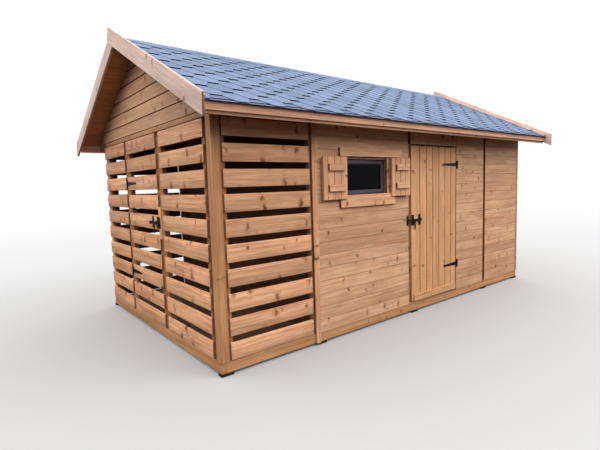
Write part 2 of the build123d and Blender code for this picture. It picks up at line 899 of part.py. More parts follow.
store_stand = latch_stand + backing_t
store_latch_edge = (left, store_door_y)
save(latch_bar(store_latch_edge, (0, -1, 0), -1, store_latch_z, store_stand, store_reach), "store_door_latch")
with BuildPart() as latch_keepers:
    add(keeper((room_keeper_x, front), (-1, 0, 0), 1, latch_z))
    add(keeper((left - backing_t, store_keeper_y), (0, -1, 0), -1, store_latch_z))
save(latch_keepers, "latch_keepers")
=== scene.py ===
"""Garden building with a slatted log store at one end and a closed room beside it.

Boards, shingles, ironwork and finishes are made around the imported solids, in metres.
X runs along the front, the front faces -Y and Z is up from the ground.
"""
import math
import random

import bpy
from mathutils import Matrix, Vector


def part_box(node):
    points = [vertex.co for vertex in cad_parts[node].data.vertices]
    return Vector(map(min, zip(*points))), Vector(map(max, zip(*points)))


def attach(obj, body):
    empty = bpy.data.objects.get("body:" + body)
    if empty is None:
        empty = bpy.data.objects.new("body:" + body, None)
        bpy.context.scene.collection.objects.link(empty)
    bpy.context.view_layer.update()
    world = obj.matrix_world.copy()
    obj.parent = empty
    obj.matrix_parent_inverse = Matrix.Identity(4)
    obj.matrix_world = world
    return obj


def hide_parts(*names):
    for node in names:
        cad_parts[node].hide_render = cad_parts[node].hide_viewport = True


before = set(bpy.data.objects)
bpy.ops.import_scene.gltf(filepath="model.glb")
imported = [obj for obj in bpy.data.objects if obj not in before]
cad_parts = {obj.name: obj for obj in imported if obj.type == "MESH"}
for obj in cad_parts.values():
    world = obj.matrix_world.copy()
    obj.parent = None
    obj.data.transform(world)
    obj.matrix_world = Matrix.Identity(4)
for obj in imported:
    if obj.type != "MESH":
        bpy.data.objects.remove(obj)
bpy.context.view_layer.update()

bl_info = {
    "name": "Log store with a room",
    "version": (1, 0, 0),
    "blender": (4, 5, 0),
    "location": "View3D > Sidebar > Log store",
    "description": "Slatted log store and boarded room under a shingled gable roof",
    "category": "Object",
}

# Lines of the building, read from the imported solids
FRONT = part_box("front_wall_mid")[0].y
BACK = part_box("back_wall_mid")[1].y
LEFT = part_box("left_gable")[0].x
WALL_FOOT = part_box("front_wall_mid")[0].z
WALL_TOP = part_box("front_wall_mid")[1].z
RIDGE_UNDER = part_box("left_gable")[1].z
ROOF_SLOPE = math.atan(0.5)
ROOM_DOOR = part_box("room_door")
STORE_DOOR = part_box("store_door")

# Sections that the boards keep from the solids
BOARD_T = 0.018
STUD = 0.045
STUD_PITCH = 0.480
DECK_T = 0.018
POST_W = 0.076
PLATE_T = 0.003

# Slats of the store, and how much of its side posts they leave to be seen
SLAT_H = 0.141
SLAT_PITCH = 0.194
SLAT_COUNT = 10
SLAT_BASE = STORE_DOOR[0].z
SLATS_FROM_CORNER = 0.094
SLATS_FROM_JOINT = 0.047
LATCH_POST_W = 0.100
LATCH_POST_SHOW = 0.077
HINGE_POST_W = 0.090
HINGE_POST_SHOW = 0.058
SLAT_DRIFT = 0.0012
SLAT_CUP = 0.0008

# Half of the gap between the store and the room, and the recess that shows between two wall panels
JOINT_HALF = 0.001
RECESS_BEFORE = 0.030
RECESS_AFTER = 0.004

# The opening that the window frame stands in
WINDOW_PLAY = 0.003
WINDOW_OPENING_H = 0.365

# Middles of the two latches
ROOM_LATCH_Z = 1.048
STORE_LATCH_Z = SLAT_BASE + 5 * SLAT_PITCH + SLAT_H / 2

# Rounding of sawn studs and ledges
SAWN_EDGE = 0.002

# Heads of nails and screws: their places on a slat, their distance from its ends and how deep they sit
NAIL_SHARES = (0.25, 0.75)
NAIL_MARGIN = 0.012
NAIL_SINK = 0.0012
NAIL_R = 0.0035
SCREW_R = 0.0045
BOLT_R = 0.006

# Narrowest strip of a tongued board that is still made
SLIVER = 0.004

# Middle of the first eave tab, from the verge
TAB_PHASE = 0.328

BODY = "building"
draw = random.Random(11)


def linear(hex_colour):
    """The linear value of an sRGB hex colour."""
    values = [int(hex_colour[i : i + 2], 16) / 255 for i in (1, 3, 5)]
    return tuple(v / 12.92 if v <= 0.04045 else ((v + 0.055) / 1.055) ** 2.4 for v in values)


# Settings that a user would change


def length_setting(name, description, default):
    return bpy.props.FloatProperty(
        name=name, description=description, default=default, min=0.0, subtype="DISTANCE", unit="LENGTH"
    )


def colour_setting(name, description, default):
    return bpy.props.FloatVectorProperty(
        name=name, description=description, default=linear(default), size=3, min=0.0, max=1.0, subtype="COLOR"
    )


class BoardSettings(bpy.types.PropertyGroup):
    """Widths and edges of the boards."""

    wall_pitch: length_setting("Wall board", "Cover width of a tongued wall board", 0.120)
    gable_pitch: length_setting("Gable board", "Cover width of a tongued gable board", 0.130)
    deck_pitch: length_setting("Roof board", "Cover width of a roof board", 0.112)
    floor_pitch: length_setting("Floor board", "Cover width of a floor board", 0.118)
    groove: length_setting("Groove", "Chamfer on the meeting edges of two tongued wall boards", 0.0015)
    gable_groove: length_setting("Gable groove", "Chamfer on the meeting edges of two gable boards", 0.0060)
    door_groove: length_setting("Door groove", "Chamfer on the meeting edges of two door boards", 0.0048)
    slat_edge: length_setting("Slat edge", "Rounding on the edges of a slat", 0.005)
    planed_edge: length_setting("Planed edge", "Rounding on the edges of posts and trim", 0.003)


class RoofSettings(bpy.types.PropertyGroup):
    """The felt shingles."""

    tab_pitch: length_setting("Tab pitch", "Distance between two tabs of one course", 0.308)
    tab_flat: length_setting("Tab flat", "Width of a tab's straight lower edge", 0.095)
    exposure: length_setting("Exposure", "Height of a course that stays uncovered", 0.1225)
    felt: length_setting("Felt", "Thickness of a shingle", 0.0035)
    # The shade band is printed dark granules and partly a painted shadow of the tab above.
    shade_band: length_setting("Shade band", "Dark granules just below the next tab", 0.016)


class ColourSettings(bpy.types.PropertyGroup):
    """Finishes of the building."""

    slat_light: colour_setting("Slat", "Light growth in the slats", "#ebb78f")
    slat_dark: colour_setting("Slat grain", "Dark growth in the slats", "#b27652")
    wall_light: colour_setting("Wall", "Light growth in the wall boards", "#dbae8b")
    wall_dark: colour_setting("Wall grain", "Dark growth in the wall boards", "#b78460")
    door_light: colour_setting("Door", "Light growth in the door boards", "#e0ab80")
    door_dark: colour_setting("Door grain", "Dark growth in the door boards", "#bd8558")
    casing_light: colour_setting("Casing", "Light growth in shutters and casing", "#e3b08c")
    casing_dark: colour_setting("Casing grain", "Dark growth in shutters and casing", "#bf8964")
    post_light: colour_setting("Post", "Light growth in posts and plates", "#c69268")
    post_dark: colour_setting("Post grain", "Dark growth in posts and plates", "#946440")
    # The stud colours are painted shade: studs stand back behind the boards and slats and are darkened for
    # it.
    stud_light: colour_setting("Stud", "Light growth in the studs of the slatted panels", "#a8764f")
    stud_dark: colour_setting("Stud grain", "Dark growth in the studs of the slatted panels", "#7c4f2f")
    # The bargeboard colours are pale wood with a painted highlight where the light grazes them.
    barge_light: colour_setting("Bargeboard", "Light growth in the bargeboards", "#dfc4b7")
    barge_dark: colour_setting("Bargeboard grain", "Dark growth in the bargeboards", "#c6a496")
    trim_light: colour_setting("Trim", "Light growth in the fascias", "#e4b396")
    trim_dark: colour_setting("Trim grain", "Dark growth in the fascias", "#c18c6b")
    roof_light: colour_setting("Roof board", "Light growth in the roof boards", "#d6a06c")
    roof_dark: colour_setting("Roof board grain", "Dark growth in the roof boards", "#ad7442")
    floor_light: colour_setting("Floor", "Light growth in the floor boards", "#9a7554")
    floor_dark: colour_setting("Floor grain", "Dark growth in the floor boards", "#755236")
    # The inside colours are painted shade: boards that face the store are darkened to stand for the dark
    # inside.
    inside_light: colour_setting("Inside", "Light growth in boards that face the store", "#6d4a32")
    inside_dark: colour_setting("Inside grain", "Dark growth in boards that face the store", "#4c301d")
    sill_light: colour_setting("Sill", "Light growth in the sills", "#c8956a")
    sill_dark: colour_setting("Sill grain", "Dark growth in the sills", "#a06c43")
    groove: colour_setting("Groove", "Stain gathered in the grooves between boards", "#7a4222")
    slat_end: colour_setting("Slat end", "Sawn ends of the slats", "#9c6a48")
    end_grain: colour_setting("End grain", "Cut ends that drank the stain", "#5c2d18")
    knot: colour_setting("Knot", "Knots in the boards", "#6b3a20")
    shingle: colour_setting("Shingle", "Slate granules on the felt", "#6a7999")
    # The shingle shade colour is printed dark granules and partly a painted shadow under the tabs.
    shingle_shade: colour_setting("Shingle shade", "Dark granules under the tabs", "#171b30")
    bitumen: colour_setting("Bitumen", "Felt edge without granules", "#0d0d10")
    iron: colour_setting("Ironwork", "Powder coat on hinges and latches", "#0d0e11")
    window_paint: colour_setting("Window paint", "Paint on the window frame", "#25232c")
    # The packer colour is painted shade: the packers are darkened to match the shade under the sills.
    packer: colour_setting("Packer", "Packers under the sills", "#332b26")


class StageSettings(bpy.types.PropertyGroup):
    """The camera, the lamps and the floor."""

    lens: bpy.props.FloatProperty(
        name="Lens", description="Focal length in millimetres", default=25.468, min=1.0
    )
    sky: bpy.props.FloatProperty(
        name="Sky", description="Strength of the light from all round", default=2.75, min=0.0
    )
    key: bpy.props.FloatProperty(
        name="Key lamp", description="Power of the soft lamp",
        default=260.0, min=0.0, subtype="POWER", unit="POWER",
    )
    floor: colour_setting("Floor", "Colour of the studio floor", "#b4b4b4")
    floor_bounce: colour_setting("Floor bounce", "Colour in which the floor lights the building", "#3b3936")


# Work on the mesh


def deselect():
    """Leaves nothing selected and no object in edit mode."""
    if bpy.context.object and bpy.context.object.mode != "OBJECT":
        bpy.ops.object.mode_set(mode="OBJECT")
    bpy.ops.object.select_all(action="DESELECT")


def select_only(piece):
    deselect()
    piece.select_set(True)
    bpy.context.view_layer.objects.active = piece


def apply_place(piece):
    """Puts a piece's place, turn and scale into its mesh."""
    select_only(piece)
    bpy.ops.object.transform_apply(location=True, rotation=True, scale=True)


def edit(piece, kind="FACE", wanted=None):
    """Opens a piece in edit mode with the elements that wanted picks selected, or all of them."""
    select_only(piece)
    mesh = piece.data
    bpy.context.tool_settings.mesh_select_mode = (kind == "VERT", kind == "EDGE", kind == "FACE")
    groups = {"VERT": mesh.vertices, "EDGE": mesh.edges, "FACE": mesh.polygons}
    for group in groups.values():
        group.foreach_set("select", [wanted is None] * len(group))
    if wanted:
        for item in groups[kind]:
            item.select = wanted(item, mesh)
    bpy.ops.object.mode_set(mode="EDIT")


def close_edit():
    bpy.ops.object.mode_set(mode="OBJECT")


def block(low, high):
    """A squared timber between two corners."""
    deselect()
    low, high = Vector(low), Vector(high)
    bpy.ops.mesh.primitive_cube_add(size=1, location=(low + high) / 2)
    piece = bpy.context.object
    piece.scale = high - low
    bpy.ops.object.transform_apply(location=True, rotation=True, scale=True)
    return piece


def ease(piece, width, segments=1):
    """Takes the sharpness off all the edges of a piece."""
    edit(piece, "EDGE")
    bpy.ops.mesh.bevel(offset=width, segments=segments, affect="EDGES", clamp_overlap=True)
    close_edit()


def saw(piece, point, normal):
    """Cuts off what lies on the normal's side of a plane and closes the cut."""
    edit(piece, "FACE")
    bpy.ops.mesh.bisect(plane_co=point, plane_no=normal, use_fill=True, clear_outer=True)
    close_edit()


def joined(name, parts):
    """One piece made of several boards."""
    deselect()
    for part in parts:
        part.select_set(True)
    bpy.context.view_layer.objects.active = parts[0]
    if len(parts) > 1:
        bpy.ops.object.join()
    piece = bpy.context.object
    piece.name = name
    piece.data.name = name
    return piece


def soften(piece, angle=40):
    """Smooth shading on the rounded edges."""
    select_only(piece)
    bpy.ops.object.shade_smooth_by_angle(angle=math.radians(angle))


AXIS = {"X": Vector((1, 0, 0)), "Y": Vector((0, 1, 0)), "Z": Vector((0, 0, 1))}


def extents(piece):
    """Length of a piece along X, Y and Z."""
    corners = [Vector(corner) for corner in piece.bound_box]
    return [max(c[i] for c in corners) - min(c[i] for c in corners) for i in range(3)]


def give_tones(piece, tones):
    """Gives a piece one tone for each of its vertices."""
    piece.data.attributes.new("tone", "FLOAT", "POINT").data.foreach_set("value", tones)


def give_grain(piece, along, finish):
    """Gives a board its own stretch of timber, with the grain running along it.

    The grain attribute holds metres along, across and through the board, and tone is the board's own.
    """
    along = Vector(along).normalized()
    mesh = piece.data
    spans = extents(piece)
    thin = Vector((0, 0, 0))
    thin[min((i for i in range(3) if abs(along[i]) <= 0.1), key=lambda i: spans[i])] = 1
    wide = along.cross(thin).normalized()
    log_length = 60
    start = [draw.uniform(0, log_length) for _ in range(3)]
    places = []
    for vertex in mesh.vertices:
        co = vertex.co
        places += (co.dot(along) + start[0], co.dot(wide) + start[1], co.dot(thin) + start[2])
    mesh.attributes.new("grain", "FLOAT_VECTOR", "POINT").data.foreach_set("vector", places)
    give_tones(piece, [draw.random()] * len(mesh.vertices))
    mesh.materials.clear()
    for material in finish:
        mesh.materials.append(material)
    for face in mesh.polygons:
        face.material_index = 1 if len(finish) > 1 and abs(face.normal.dot(along)) > 0.85 else 0
    return piece


def board(low, high, along, finish, edge=0.0015, segments=1):
    """A board between two corners with eased edges and its own grain."""
    piece = block(low, high)
    ease(piece, edge, segments)
    return give_grain(piece, AXIS[along], finish)


def tongued_board(low, high, along, finish, edge):
    """A board whose long edges are chamfered to make a V groove with the next one."""
    return stain_grooves(board(low, high, along, finish, edge))


def stain_grooves(piece):
    """Gives the third finish of a board to its chamfers."""
    for face in piece.data.polygons:
        if max(abs(value) for value in face.normal) < 0.9 and face.material_index == 0:
            face.material_index = 2
    return piece


def solid_copy(node):
    """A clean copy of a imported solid's mesh, its triangles merged back into faces."""
    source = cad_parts[node]
    piece = source.copy()
    piece.data = source.data.copy()
    for key in list(piece.keys()):
        del piece[key]
    piece.parent = None
    bpy.context.scene.collection.objects.link(piece)
    piece.data.materials.clear()
    edit(piece, "VERT")
    bpy.ops.mesh.remove_doubles(threshold=0.00002)
    bpy.ops.mesh.dissolve_limited(angle_limit=math.radians(2))
    bpy.ops.mesh.normals_make_consistent(inside=False)
    close_edit()
    return piece


def recoat(node, material):
    """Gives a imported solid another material."""
    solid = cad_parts[node]
    solid.data.materials.clear()
    solid.data.materials.append(material)


def modified(piece, kind, **settings):
    """Adds a modifier with its settings and applies it."""
    select_only(piece)
    modifier = piece.modifiers.new(kind.lower(), kind)
    for key, value in settings.items():
        setattr(modifier, key, value)
    bpy.ops.object.modifier_apply(modifier=modifier.name)
    return piece


def rounded(piece, width, segments=1):
    """A bevel on every sharp edge of a shaped piece."""
    sharp = math.radians(25)
    return modified(piece, "BEVEL", width=width, segments=segments, limit_method="ANGLE", angle_limit=sharp)


def repeated(piece, count, step):
    """A row of copies, each a step further on."""
    return modified(
        piece, "ARRAY",
        use_relative_offset=False, use_constant_offset=True, constant_offset_displace=step, count=count,
    )


def timbers(name, nodes, along, finish, edge):
    """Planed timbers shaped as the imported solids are, each with its own grain."""
    parts = []
    for node in nodes:
        piece = solid_copy(node)
        rounded(piece, edge)
        edit(piece, "VERT")
        bpy.ops.mesh.separate(type="LOOSE")
        close_edit()
        for part in list(bpy.context.selected_objects):
            direction = along(part) if callable(along) else AXIS[along]
            parts.append(give_grain(part, direction, finish))
    return joined(name, parts)


def fit(piece, slot, *nodes, body=BODY):
    """Hangs a finished piece on its body and hides the solids it stands for."""
    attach(piece, body)
    if nodes:
        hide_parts(*nodes)
    return piece


# Materials


def add(tree, kind, inputs=None, stops=None, **settings):
    """Adds a node with its settings and values, and links what feeds it.

    A node given as an input feeds it from its first output in use.
    """
    node = tree.nodes.new(kind)
    for key, value in settings.items():
        setattr(node, key, value)
    for key, value in (inputs or {}).items():
        socket = node.inputs[key]
        if isinstance(value, bpy.types.Node):
            value = next(output for output in value.outputs if not output.is_unavailable)
        if isinstance(value, bpy.types.NodeSocket):
            tree.links.new(value, socket)
        elif isinstance(value, tuple) and len(value) == 3 and socket.type == "RGBA":
            socket.default_value = (*value, 1)
        else:
            socket.default_value = value
    if stops:
        ramp = node.color_ramp
        while len(ramp.elements) < len(stops):
            ramp.elements.new(1)
        for element, (place, value) in zip(ramp.elements, stops):
            element.position = place
            element.color = (value, value, value, 1)
    return node


def span(low, high, start, end):
    """The values of a Map Range node that takes low and high to start and end."""
    return {"From Min": low, "From Max": high, "To Min": start, "To Max": end}


def new_material(name):
    """An empty node material and its tree."""
    material = bpy.data.materials.new(name)
    material.use_nodes = True
    tree = material.node_tree
    tree.nodes.clear()
    return material, tree


def colour(name):
    """A colour of the settings."""
    return tuple(getattr(bpy.context.scene.log_store_colours, name))


def growth(wood):
    """The light and the dark growth of a wood."""
    return colour(f"{wood}_light"), colour(f"{wood}_dark")


def shaded(tint, share):
    """A colour made lighter or darker by a share."""
    return tuple(min(1, value * share) for value in tint)


def knot_pattern(tree, grain, amount):
    """Knots cut lengthwise and the curls of grain beside them.

    They are brown smears about 15 mm wide and 30 to 80 mm tall. Gives the knot's face, the halo
    round it and the random values of its cell.
    """
    curl = (0.085, 0.03, 0.0)
    stretch = (1.7, 0.72, 1.0)
    cells_per_metre = 4.6
    largest = 0.115 * amount
    ripple = add(tree, "ShaderNodeTexNoise", {"Vector": grain, "Scale": 26.0, "Detail": 3.0}).outputs["Color"]
    pushed = add(tree, "ShaderNodeVectorMath", {0: ripple, 1: curl, 2: grain}, operation="MULTIPLY_ADD")
    stretched = add(tree, "ShaderNodeMapping", {"Vector": pushed, "Scale": stretch})
    cells = add(
        tree, "ShaderNodeTexVoronoi",
        {"Vector": stretched, "Scale": cells_per_metre, "Randomness": 1.0},
        voronoi_dimensions="2D",
    )
    pick = add(tree, "ShaderNodeSeparateColor", {"Color": cells.outputs["Color"]}).outputs
    share = add(tree, "ShaderNodeMapRange", {"Value": pick["Red"], **span(0.1, 1.0, 0.0, 1.0)})
    size = add(tree, "ShaderNodeMath", {0: share, 1: largest, 2: 0.0001}, operation="MULTIPLY_ADD")
    reach = add(tree, "ShaderNodeMath", {0: cells, 1: size}, operation="DIVIDE")
    rim = add(tree, "ShaderNodeMapRange", {"Value": reach, **span(0.45, 1.2, 1.0, 0.0)})
    depth = add(tree, "ShaderNodeMapRange", {"Value": pick["Blue"], **span(0.0, 1.0, 0.5, 1.0)})
    face = add(tree, "ShaderNodeMath", {0: rim, 1: depth}, operation="MULTIPLY")
    halo = add(tree, "ShaderNodeMapRange", {"Value": reach, **span(0.8, 2.6, 1.0, 0.0)})
    return face, halo, pick


def growth_rings(tree, grain, halo):
    """Growth rings, drawn at 15 to 30 mm so that they show, bending round the knots."""
    wander_reach = 0.05
    curl_reach = 0.03
    part = add(tree, "ShaderNodeSeparateXYZ", {"Vector": grain}).outputs
    slow = add(tree, "ShaderNodeMapping", {"Vector": grain, "Scale": (1.6, 5, 5)})
    wander = add(tree, "ShaderNodeTexNoise", {"Vector": slow, "Scale": 1.0, "Detail": 2.0})
    curl = add(tree, "ShaderNodeMath", {0: halo, 1: curl_reach}, operation="MULTIPLY")
    shift = add(tree, "ShaderNodeMath", {0: wander, 1: wander_reach, 2: curl}, operation="MULTIPLY_ADD")
    across = add(tree, "ShaderNodeMath", {0: part["Y"], 1: shift}, operation="ADD")
    place = add(tree, "ShaderNodeCombineXYZ", {"X": part["X"], "Y": across, "Z": part["Z"]})
    drawn_out = add(tree, "ShaderNodeVectorMath", {0: place, 1: (1.1, 46.0, 46.0)}, operation="MULTIPLY")
    rings = add(
        tree, "ShaderNodeTexNoise", {"Vector": drawn_out, "Scale": 1.0, "Detail": 2.5, "Roughness": 0.6}
    )
    return add(tree, "ShaderNodeValToRGB", {"Fac": rings}, stops=[(0.28, 0.12), (0.50, 0.45), (0.70, 0.85)])


def stained_softwood(name, light, dark, knots=1.0, rough=0.6, tone_range=0.2):
    """Planed spruce under a thin translucent stain.

    The stain leaves the growth rings and the knots to be seen, with a dull silky sheen,
    and each board took it a little differently.
    """
    material, tree = new_material(name)
    grain = add(tree, "ShaderNodeAttribute", attribute_name="grain").outputs["Vector"]
    tone = add(tree, "ShaderNodeAttribute", attribute_name="tone").outputs["Fac"]
    knot, halo, pick = knot_pattern(tree, grain, knots)
    ring = growth_rings(tree, grain, halo)

    # Patches where the stain pooled, and fibres drawn some 7 mm wide, wide enough to show
    broad = add(tree, "ShaderNodeMapping", {"Vector": grain, "Scale": (2.2, 9, 9)})
    blotch = add(tree, "ShaderNodeTexNoise", {"Vector": broad, "Scale": 1.0, "Detail": 3.0})
    fine = add(tree, "ShaderNodeMapping", {"Vector": grain, "Scale": (7, 150, 150)})
    fibre = add(tree, "ShaderNodeTexNoise", {"Vector": fine, "Scale": 1.0, "Detail": 2.0})

    face = add(tree, "ShaderNodeMix", {"Factor": ring, "A": light, "B": dark}, data_type="RGBA")
    stain = add(tree, "ShaderNodeMapRange", {"Value": blotch, **span(0.3, 0.7, 1.14, 0.87)})
    tones = span(0.0, 1.0, 1.0 - tone_range / 2, 1.0 + tone_range / 2)
    own = add(tree, "ShaderNodeMapRange", {"Value": tone, **tones})
    streak = add(tree, "ShaderNodeMapRange", {"Value": fibre, **span(0.3, 0.7, 0.87, 1.12)})
    level = add(tree, "ShaderNodeMath", {0: stain, 1: own}, operation="MULTIPLY")
    level = add(tree, "ShaderNodeMath", {0: level, 1: streak}, operation="MULTIPLY")
    hue = add(tree, "ShaderNodeMapRange", {"Value": pick["Green"], **span(0.0, 1.0, 0.497, 0.503)})
    toned = add(tree, "ShaderNodeHueSaturation", {"Hue": hue, "Value": level, "Color": face})
    ringed = add(tree, "ShaderNodeMath", {0: halo, 1: 0.4}, operation="MULTIPLY")
    near = add(tree, "ShaderNodeMix", {"Factor": ringed, "A": toned, "B": dark}, data_type="RGBA")
    knotted = add(tree, "ShaderNodeMix", {"Factor": knot, "A": near, "B": colour("knot")}, data_type="RGBA")
    skin = {
        "Base Color": knotted,
        "Roughness": add(tree, "ShaderNodeMapRange", {"Value": ring, **span(0.0, 1.0, rough, rough - 0.1)}),
        "IOR": 1.45,
        "Specular IOR Level": 0.15,
        "Normal": add(tree, "ShaderNodeBump", {"Strength": 0.18, "Distance": 0.0008, "Height": ring}),
    }
    add(tree, "ShaderNodeOutputMaterial", {"Surface": add(tree, "ShaderNodeBsdfPrincipled", skin)})
    return material


def cut_end(name, tint, bands=16.0):
    """Sawn end grain, which drinks the stain and turns darker and duller than the faces."""
    material, tree = new_material(name)
    grain = add(tree, "ShaderNodeAttribute", attribute_name="grain").outputs["Vector"]
    rings = add(
        tree, "ShaderNodeTexWave", {"Vector": grain, "Scale": bands, "Distortion": 3.0, "Detail": 2.0},
        wave_type="BANDS", bands_direction="Y",
    ).outputs["Fac"]
    tints = {"Factor": rings, "A": shaded(tint, 0.75), "B": shaded(tint, 1.2)}
    ringed = add(tree, "ShaderNodeMix", tints, data_type="RGBA")
    shader = add(tree, "ShaderNodeBsdfPrincipled", {"Base Color": ringed, "Roughness": 0.85, "IOR": 1.45})
    add(tree, "ShaderNodeOutputMaterial", {"Surface": shader})
    return material


def stained_slats():
    """Spruce slats with many knots, no two of quite the same tone, and backs darkened with the inside finish
    as painted shade.
    """
    face = stained_softwood("stained_spruce_slat", *growth("slat"), knots=1.5, tone_range=0.24)
    return face, cut_end("slat_end_grain", colour("slat_end")), finish("inside")[0]


def stained_wall_boards():
    """Tongued spruce boards: an even warm brown with fine dark lines where they meet."""
    face = stained_softwood("stained_spruce_cladding", *growth("wall"))
    return face, cut_end("cladding_end_grain", colour("end_grain")), soaked_groove()


def stained_door_boards():
    """Picked spruce for the door, yellower than the walls and more alike from board to board."""
    face = stained_softwood("stained_spruce_door_board", *growth("door"), tone_range=0.14)
    return face, cut_end("spruce_end_grain", colour("end_grain")), soaked_groove()


def planed_casing():
    """Planed trim of the window and the shutters, light and knotty."""
    face = stained_softwood("stained_planed_casing", *growth("casing"), knots=1.2)
    return face, cut_end("casing_end_grain", colour("end_grain")), soaked_groove()


def soaked_groove():
    """The chamfers of tongued boards, where the stain gathered and dried almost brown."""
    if "soaked_groove" not in bpy.data.materials:
        dark = colour("groove")
        stained_softwood("soaked_groove", dark, shaded(dark, 0.6), knots=0.3, rough=0.7)
    return bpy.data.materials["soaked_groove"]


def planed_posts():
    """Planed corner posts and plates, which took more stain than the boards, with a soft sheen."""
    return (stained_softwood("stained_planed_post", *growth("post"), knots=1.1, rough=0.55),)


def planed_trim():
    """Planed fascias, pale and smooth with few knots."""
    return (stained_softwood("stained_planed_trim", *growth("trim"), knots=0.8, rough=0.55),)


def pale_bargeboard_with_painted_highlight():
    """Planed bargeboards, pale wood of even tone, made paler still by a painted highlight where the light
    grazes them.
    """
    face = stained_softwood("pale_planed_bargeboard", *growth("barge"), knots=1.1, rough=0.5, tone_range=0.1)
    return face, cut_end("bargeboard_end_grain", shaded(colour("slat_end"), 0.5))


def shade_darkened_studs():
    """Studs behind the boards, browner than the faces as painted shade, for they stand back in the dark."""
    return (stained_softwood("stained_planed_stud", *growth("stud"), knots=0.7),)


def shade_painted_boards():
    """Boards that look into the store, dull, and painted deep brown as the shade of the store."""
    face = stained_softwood("unlit_inner_board", *growth("inside"), rough=0.75)
    return face, face, soaked_groove()


def roof_board_finish():
    """Roof boards seen from below, orange where the light bounces between them."""
    return (stained_softwood("stained_roof_board", *growth("roof")),)


def sawn_floor_boards():
    """Sawn floor boards, greyish and quite dull."""
    return (stained_softwood("sawn_floor_board", *growth("floor"), rough=0.75),)


def treated_sill():
    """Pressure-treated sills, a matt brown with few knots."""
    return (stained_softwood("treated_sill_timber", *growth("sill"), knots=0.7, rough=0.7),)


def shade_black_packer():
    """Sawn packers without gloss, painted nearly black as the shade under the sills."""
    light = colour("packer")
    return (stained_softwood("damp_sawn_packer", light, shaded(light, 0.6), rough=0.8),)


def mineral_felt(name, tint, spread):
    """Bitumen felt pressed full of slate granules, matt and faintly sparkling, each tab its own tone."""
    material, tree = new_material(name)
    place = add(tree, "ShaderNodeTexCoord").outputs["Object"]
    tone = add(tree, "ShaderNodeAttribute", attribute_name="tone").outputs["Fac"]
    # Granules of about 1.5 mm, and clouds of them 60 mm wide that still show from afar
    grit = add(tree, "ShaderNodeTexNoise", {"Vector": place, "Scale": 650.0, "Detail": 1.0})
    cloudy = {"Vector": place, "Scale": 16.0, "Detail": 3.0, "Roughness": 0.65}
    cloud = add(tree, "ShaderNodeTexNoise", cloudy)
    own = add(tree, "ShaderNodeMapRange", {"Value": tone, **span(0.0, 1.0, 1.0 - spread, 1.0 + spread)})
    speckle = add(tree, "ShaderNodeMapRange", {"Value": grit, **span(0.3, 0.7, 0.72, 1.28)})
    clouds = add(tree, "ShaderNodeMapRange", {"Value": cloud, **span(0.3, 0.7, 0.86, 1.12)})
    level = add(tree, "ShaderNodeMath", {0: own, 1: speckle}, operation="MULTIPLY")
    level = add(tree, "ShaderNodeMath", {0: level, 1: clouds}, operation="MULTIPLY")
    hue = add(tree, "ShaderNodeMapRange", {"Value": cloud, **span(0.0, 1.0, 0.48, 0.515)})
    tinted = add(tree, "ShaderNodeHueSaturation", {"Hue": hue, "Value": level, "Color": tint})
    bump = add(tree, "ShaderNodeBump", {"Strength": 0.3, "Distance": 0.001, "Height": grit})
    shader = add(
        tree, "ShaderNodeBsdfPrincipled", {"Base Color": tinted, "Roughness": 0.9, "IOR": 1.5, "Normal": bump}
    )
    add(tree, "ShaderNodeOutputMaterial", {"Surface": shader})
    return material


def powder_coated_steel():
    """Black powder coat on pressed steel: a low even gloss with a fine orange-peel skin."""
    material, tree = new_material("black_powder_coat")
    place = add(tree, "ShaderNodeTexCoord").outputs["Object"]
    peel = add(tree, "ShaderNodeTexNoise", {"Vector": place, "Scale": 900.0, "Detail": 1.0})
    wear = add(tree, "ShaderNodeTexNoise", {"Vector": place, "Scale": 40.0, "Detail": 3.0})
    worn = {"Factor": wear, "A": colour("iron"), "B": linear("#17181c")}
    skin = {
        "Base Color": add(tree, "ShaderNodeMix", worn, data_type="RGBA"),
        "Roughness": 0.5,
        "IOR": 1.5,
        "Specular IOR Level": 0.2,
        "Normal": add(tree, "ShaderNodeBump", {"Strength": 0.15, "Distance": 0.0004, "Height": peel}),
    }
    add(tree, "ShaderNodeOutputMaterial", {"Surface": add(tree, "ShaderNodeBsdfPrincipled", skin)})
    return (material,)


def painted_window():
    """Dark grey paint brushed on the window frame, slightly uneven in sheen."""
    material, tree = new_material("brushed_grey_paint")
    place = add(tree, "ShaderNodeTexCoord").outputs["Object"]
    brushed = add(tree, "ShaderNodeMapping", {"Vector": place, "Scale": (6, 160, 160)})
    strokes = add(tree, "ShaderNodeTexNoise", {"Vector": brushed, "Scale": 1.0, "Detail": 2.0})
    streaks = {"Factor": strokes, "A": colour("window_paint"), "B": linear("#5b545c")}
    skin = {
        "Base Color": add(tree, "ShaderNodeMix", streaks, data_type="RGBA"),
        "Roughness": add(tree, "ShaderNodeMapRange", {"Value": strokes, **span(0.0, 1.0, 0.35, 0.5)}),
        "IOR": 1.5,
    }
    add(tree, "ShaderNodeOutputMaterial", {"Surface": add(tree, "ShaderNodeBsdfPrincipled", skin)})
    return (material,)


def float_glass():
    """Clear float glass before a dark room: almost black, with a sharp faint reflection."""
    material, tree = new_material("float_glass")
    place = add(tree, "ShaderNodeTexCoord").outputs["Object"]
    smear = add(tree, "ShaderNodeTexNoise", {"Vector": place, "Scale": 7.0, "Detail": 3.0})
    skin = {
        "Base Color": linear("#0b0c12"),
        "Roughness": add(tree, "ShaderNodeMapRange", {"Value": smear, **span(0.0, 1.0, 0.02, 0.09)}),
        "IOR": 1.5,
        "Specular IOR Level": 0.03,
    }
    add(tree, "ShaderNodeOutputMaterial", {"Surface": add(tree, "ShaderNodeBsdfPrincipled", skin)})
    return (material,)


finishes = {}


def finish(kind):
    """The materials of one finish, made the first time they are asked for."""
    if kind not in finishes:
        finishes[kind] = FINISH_MAKERS[kind]()
    return finishes[kind]


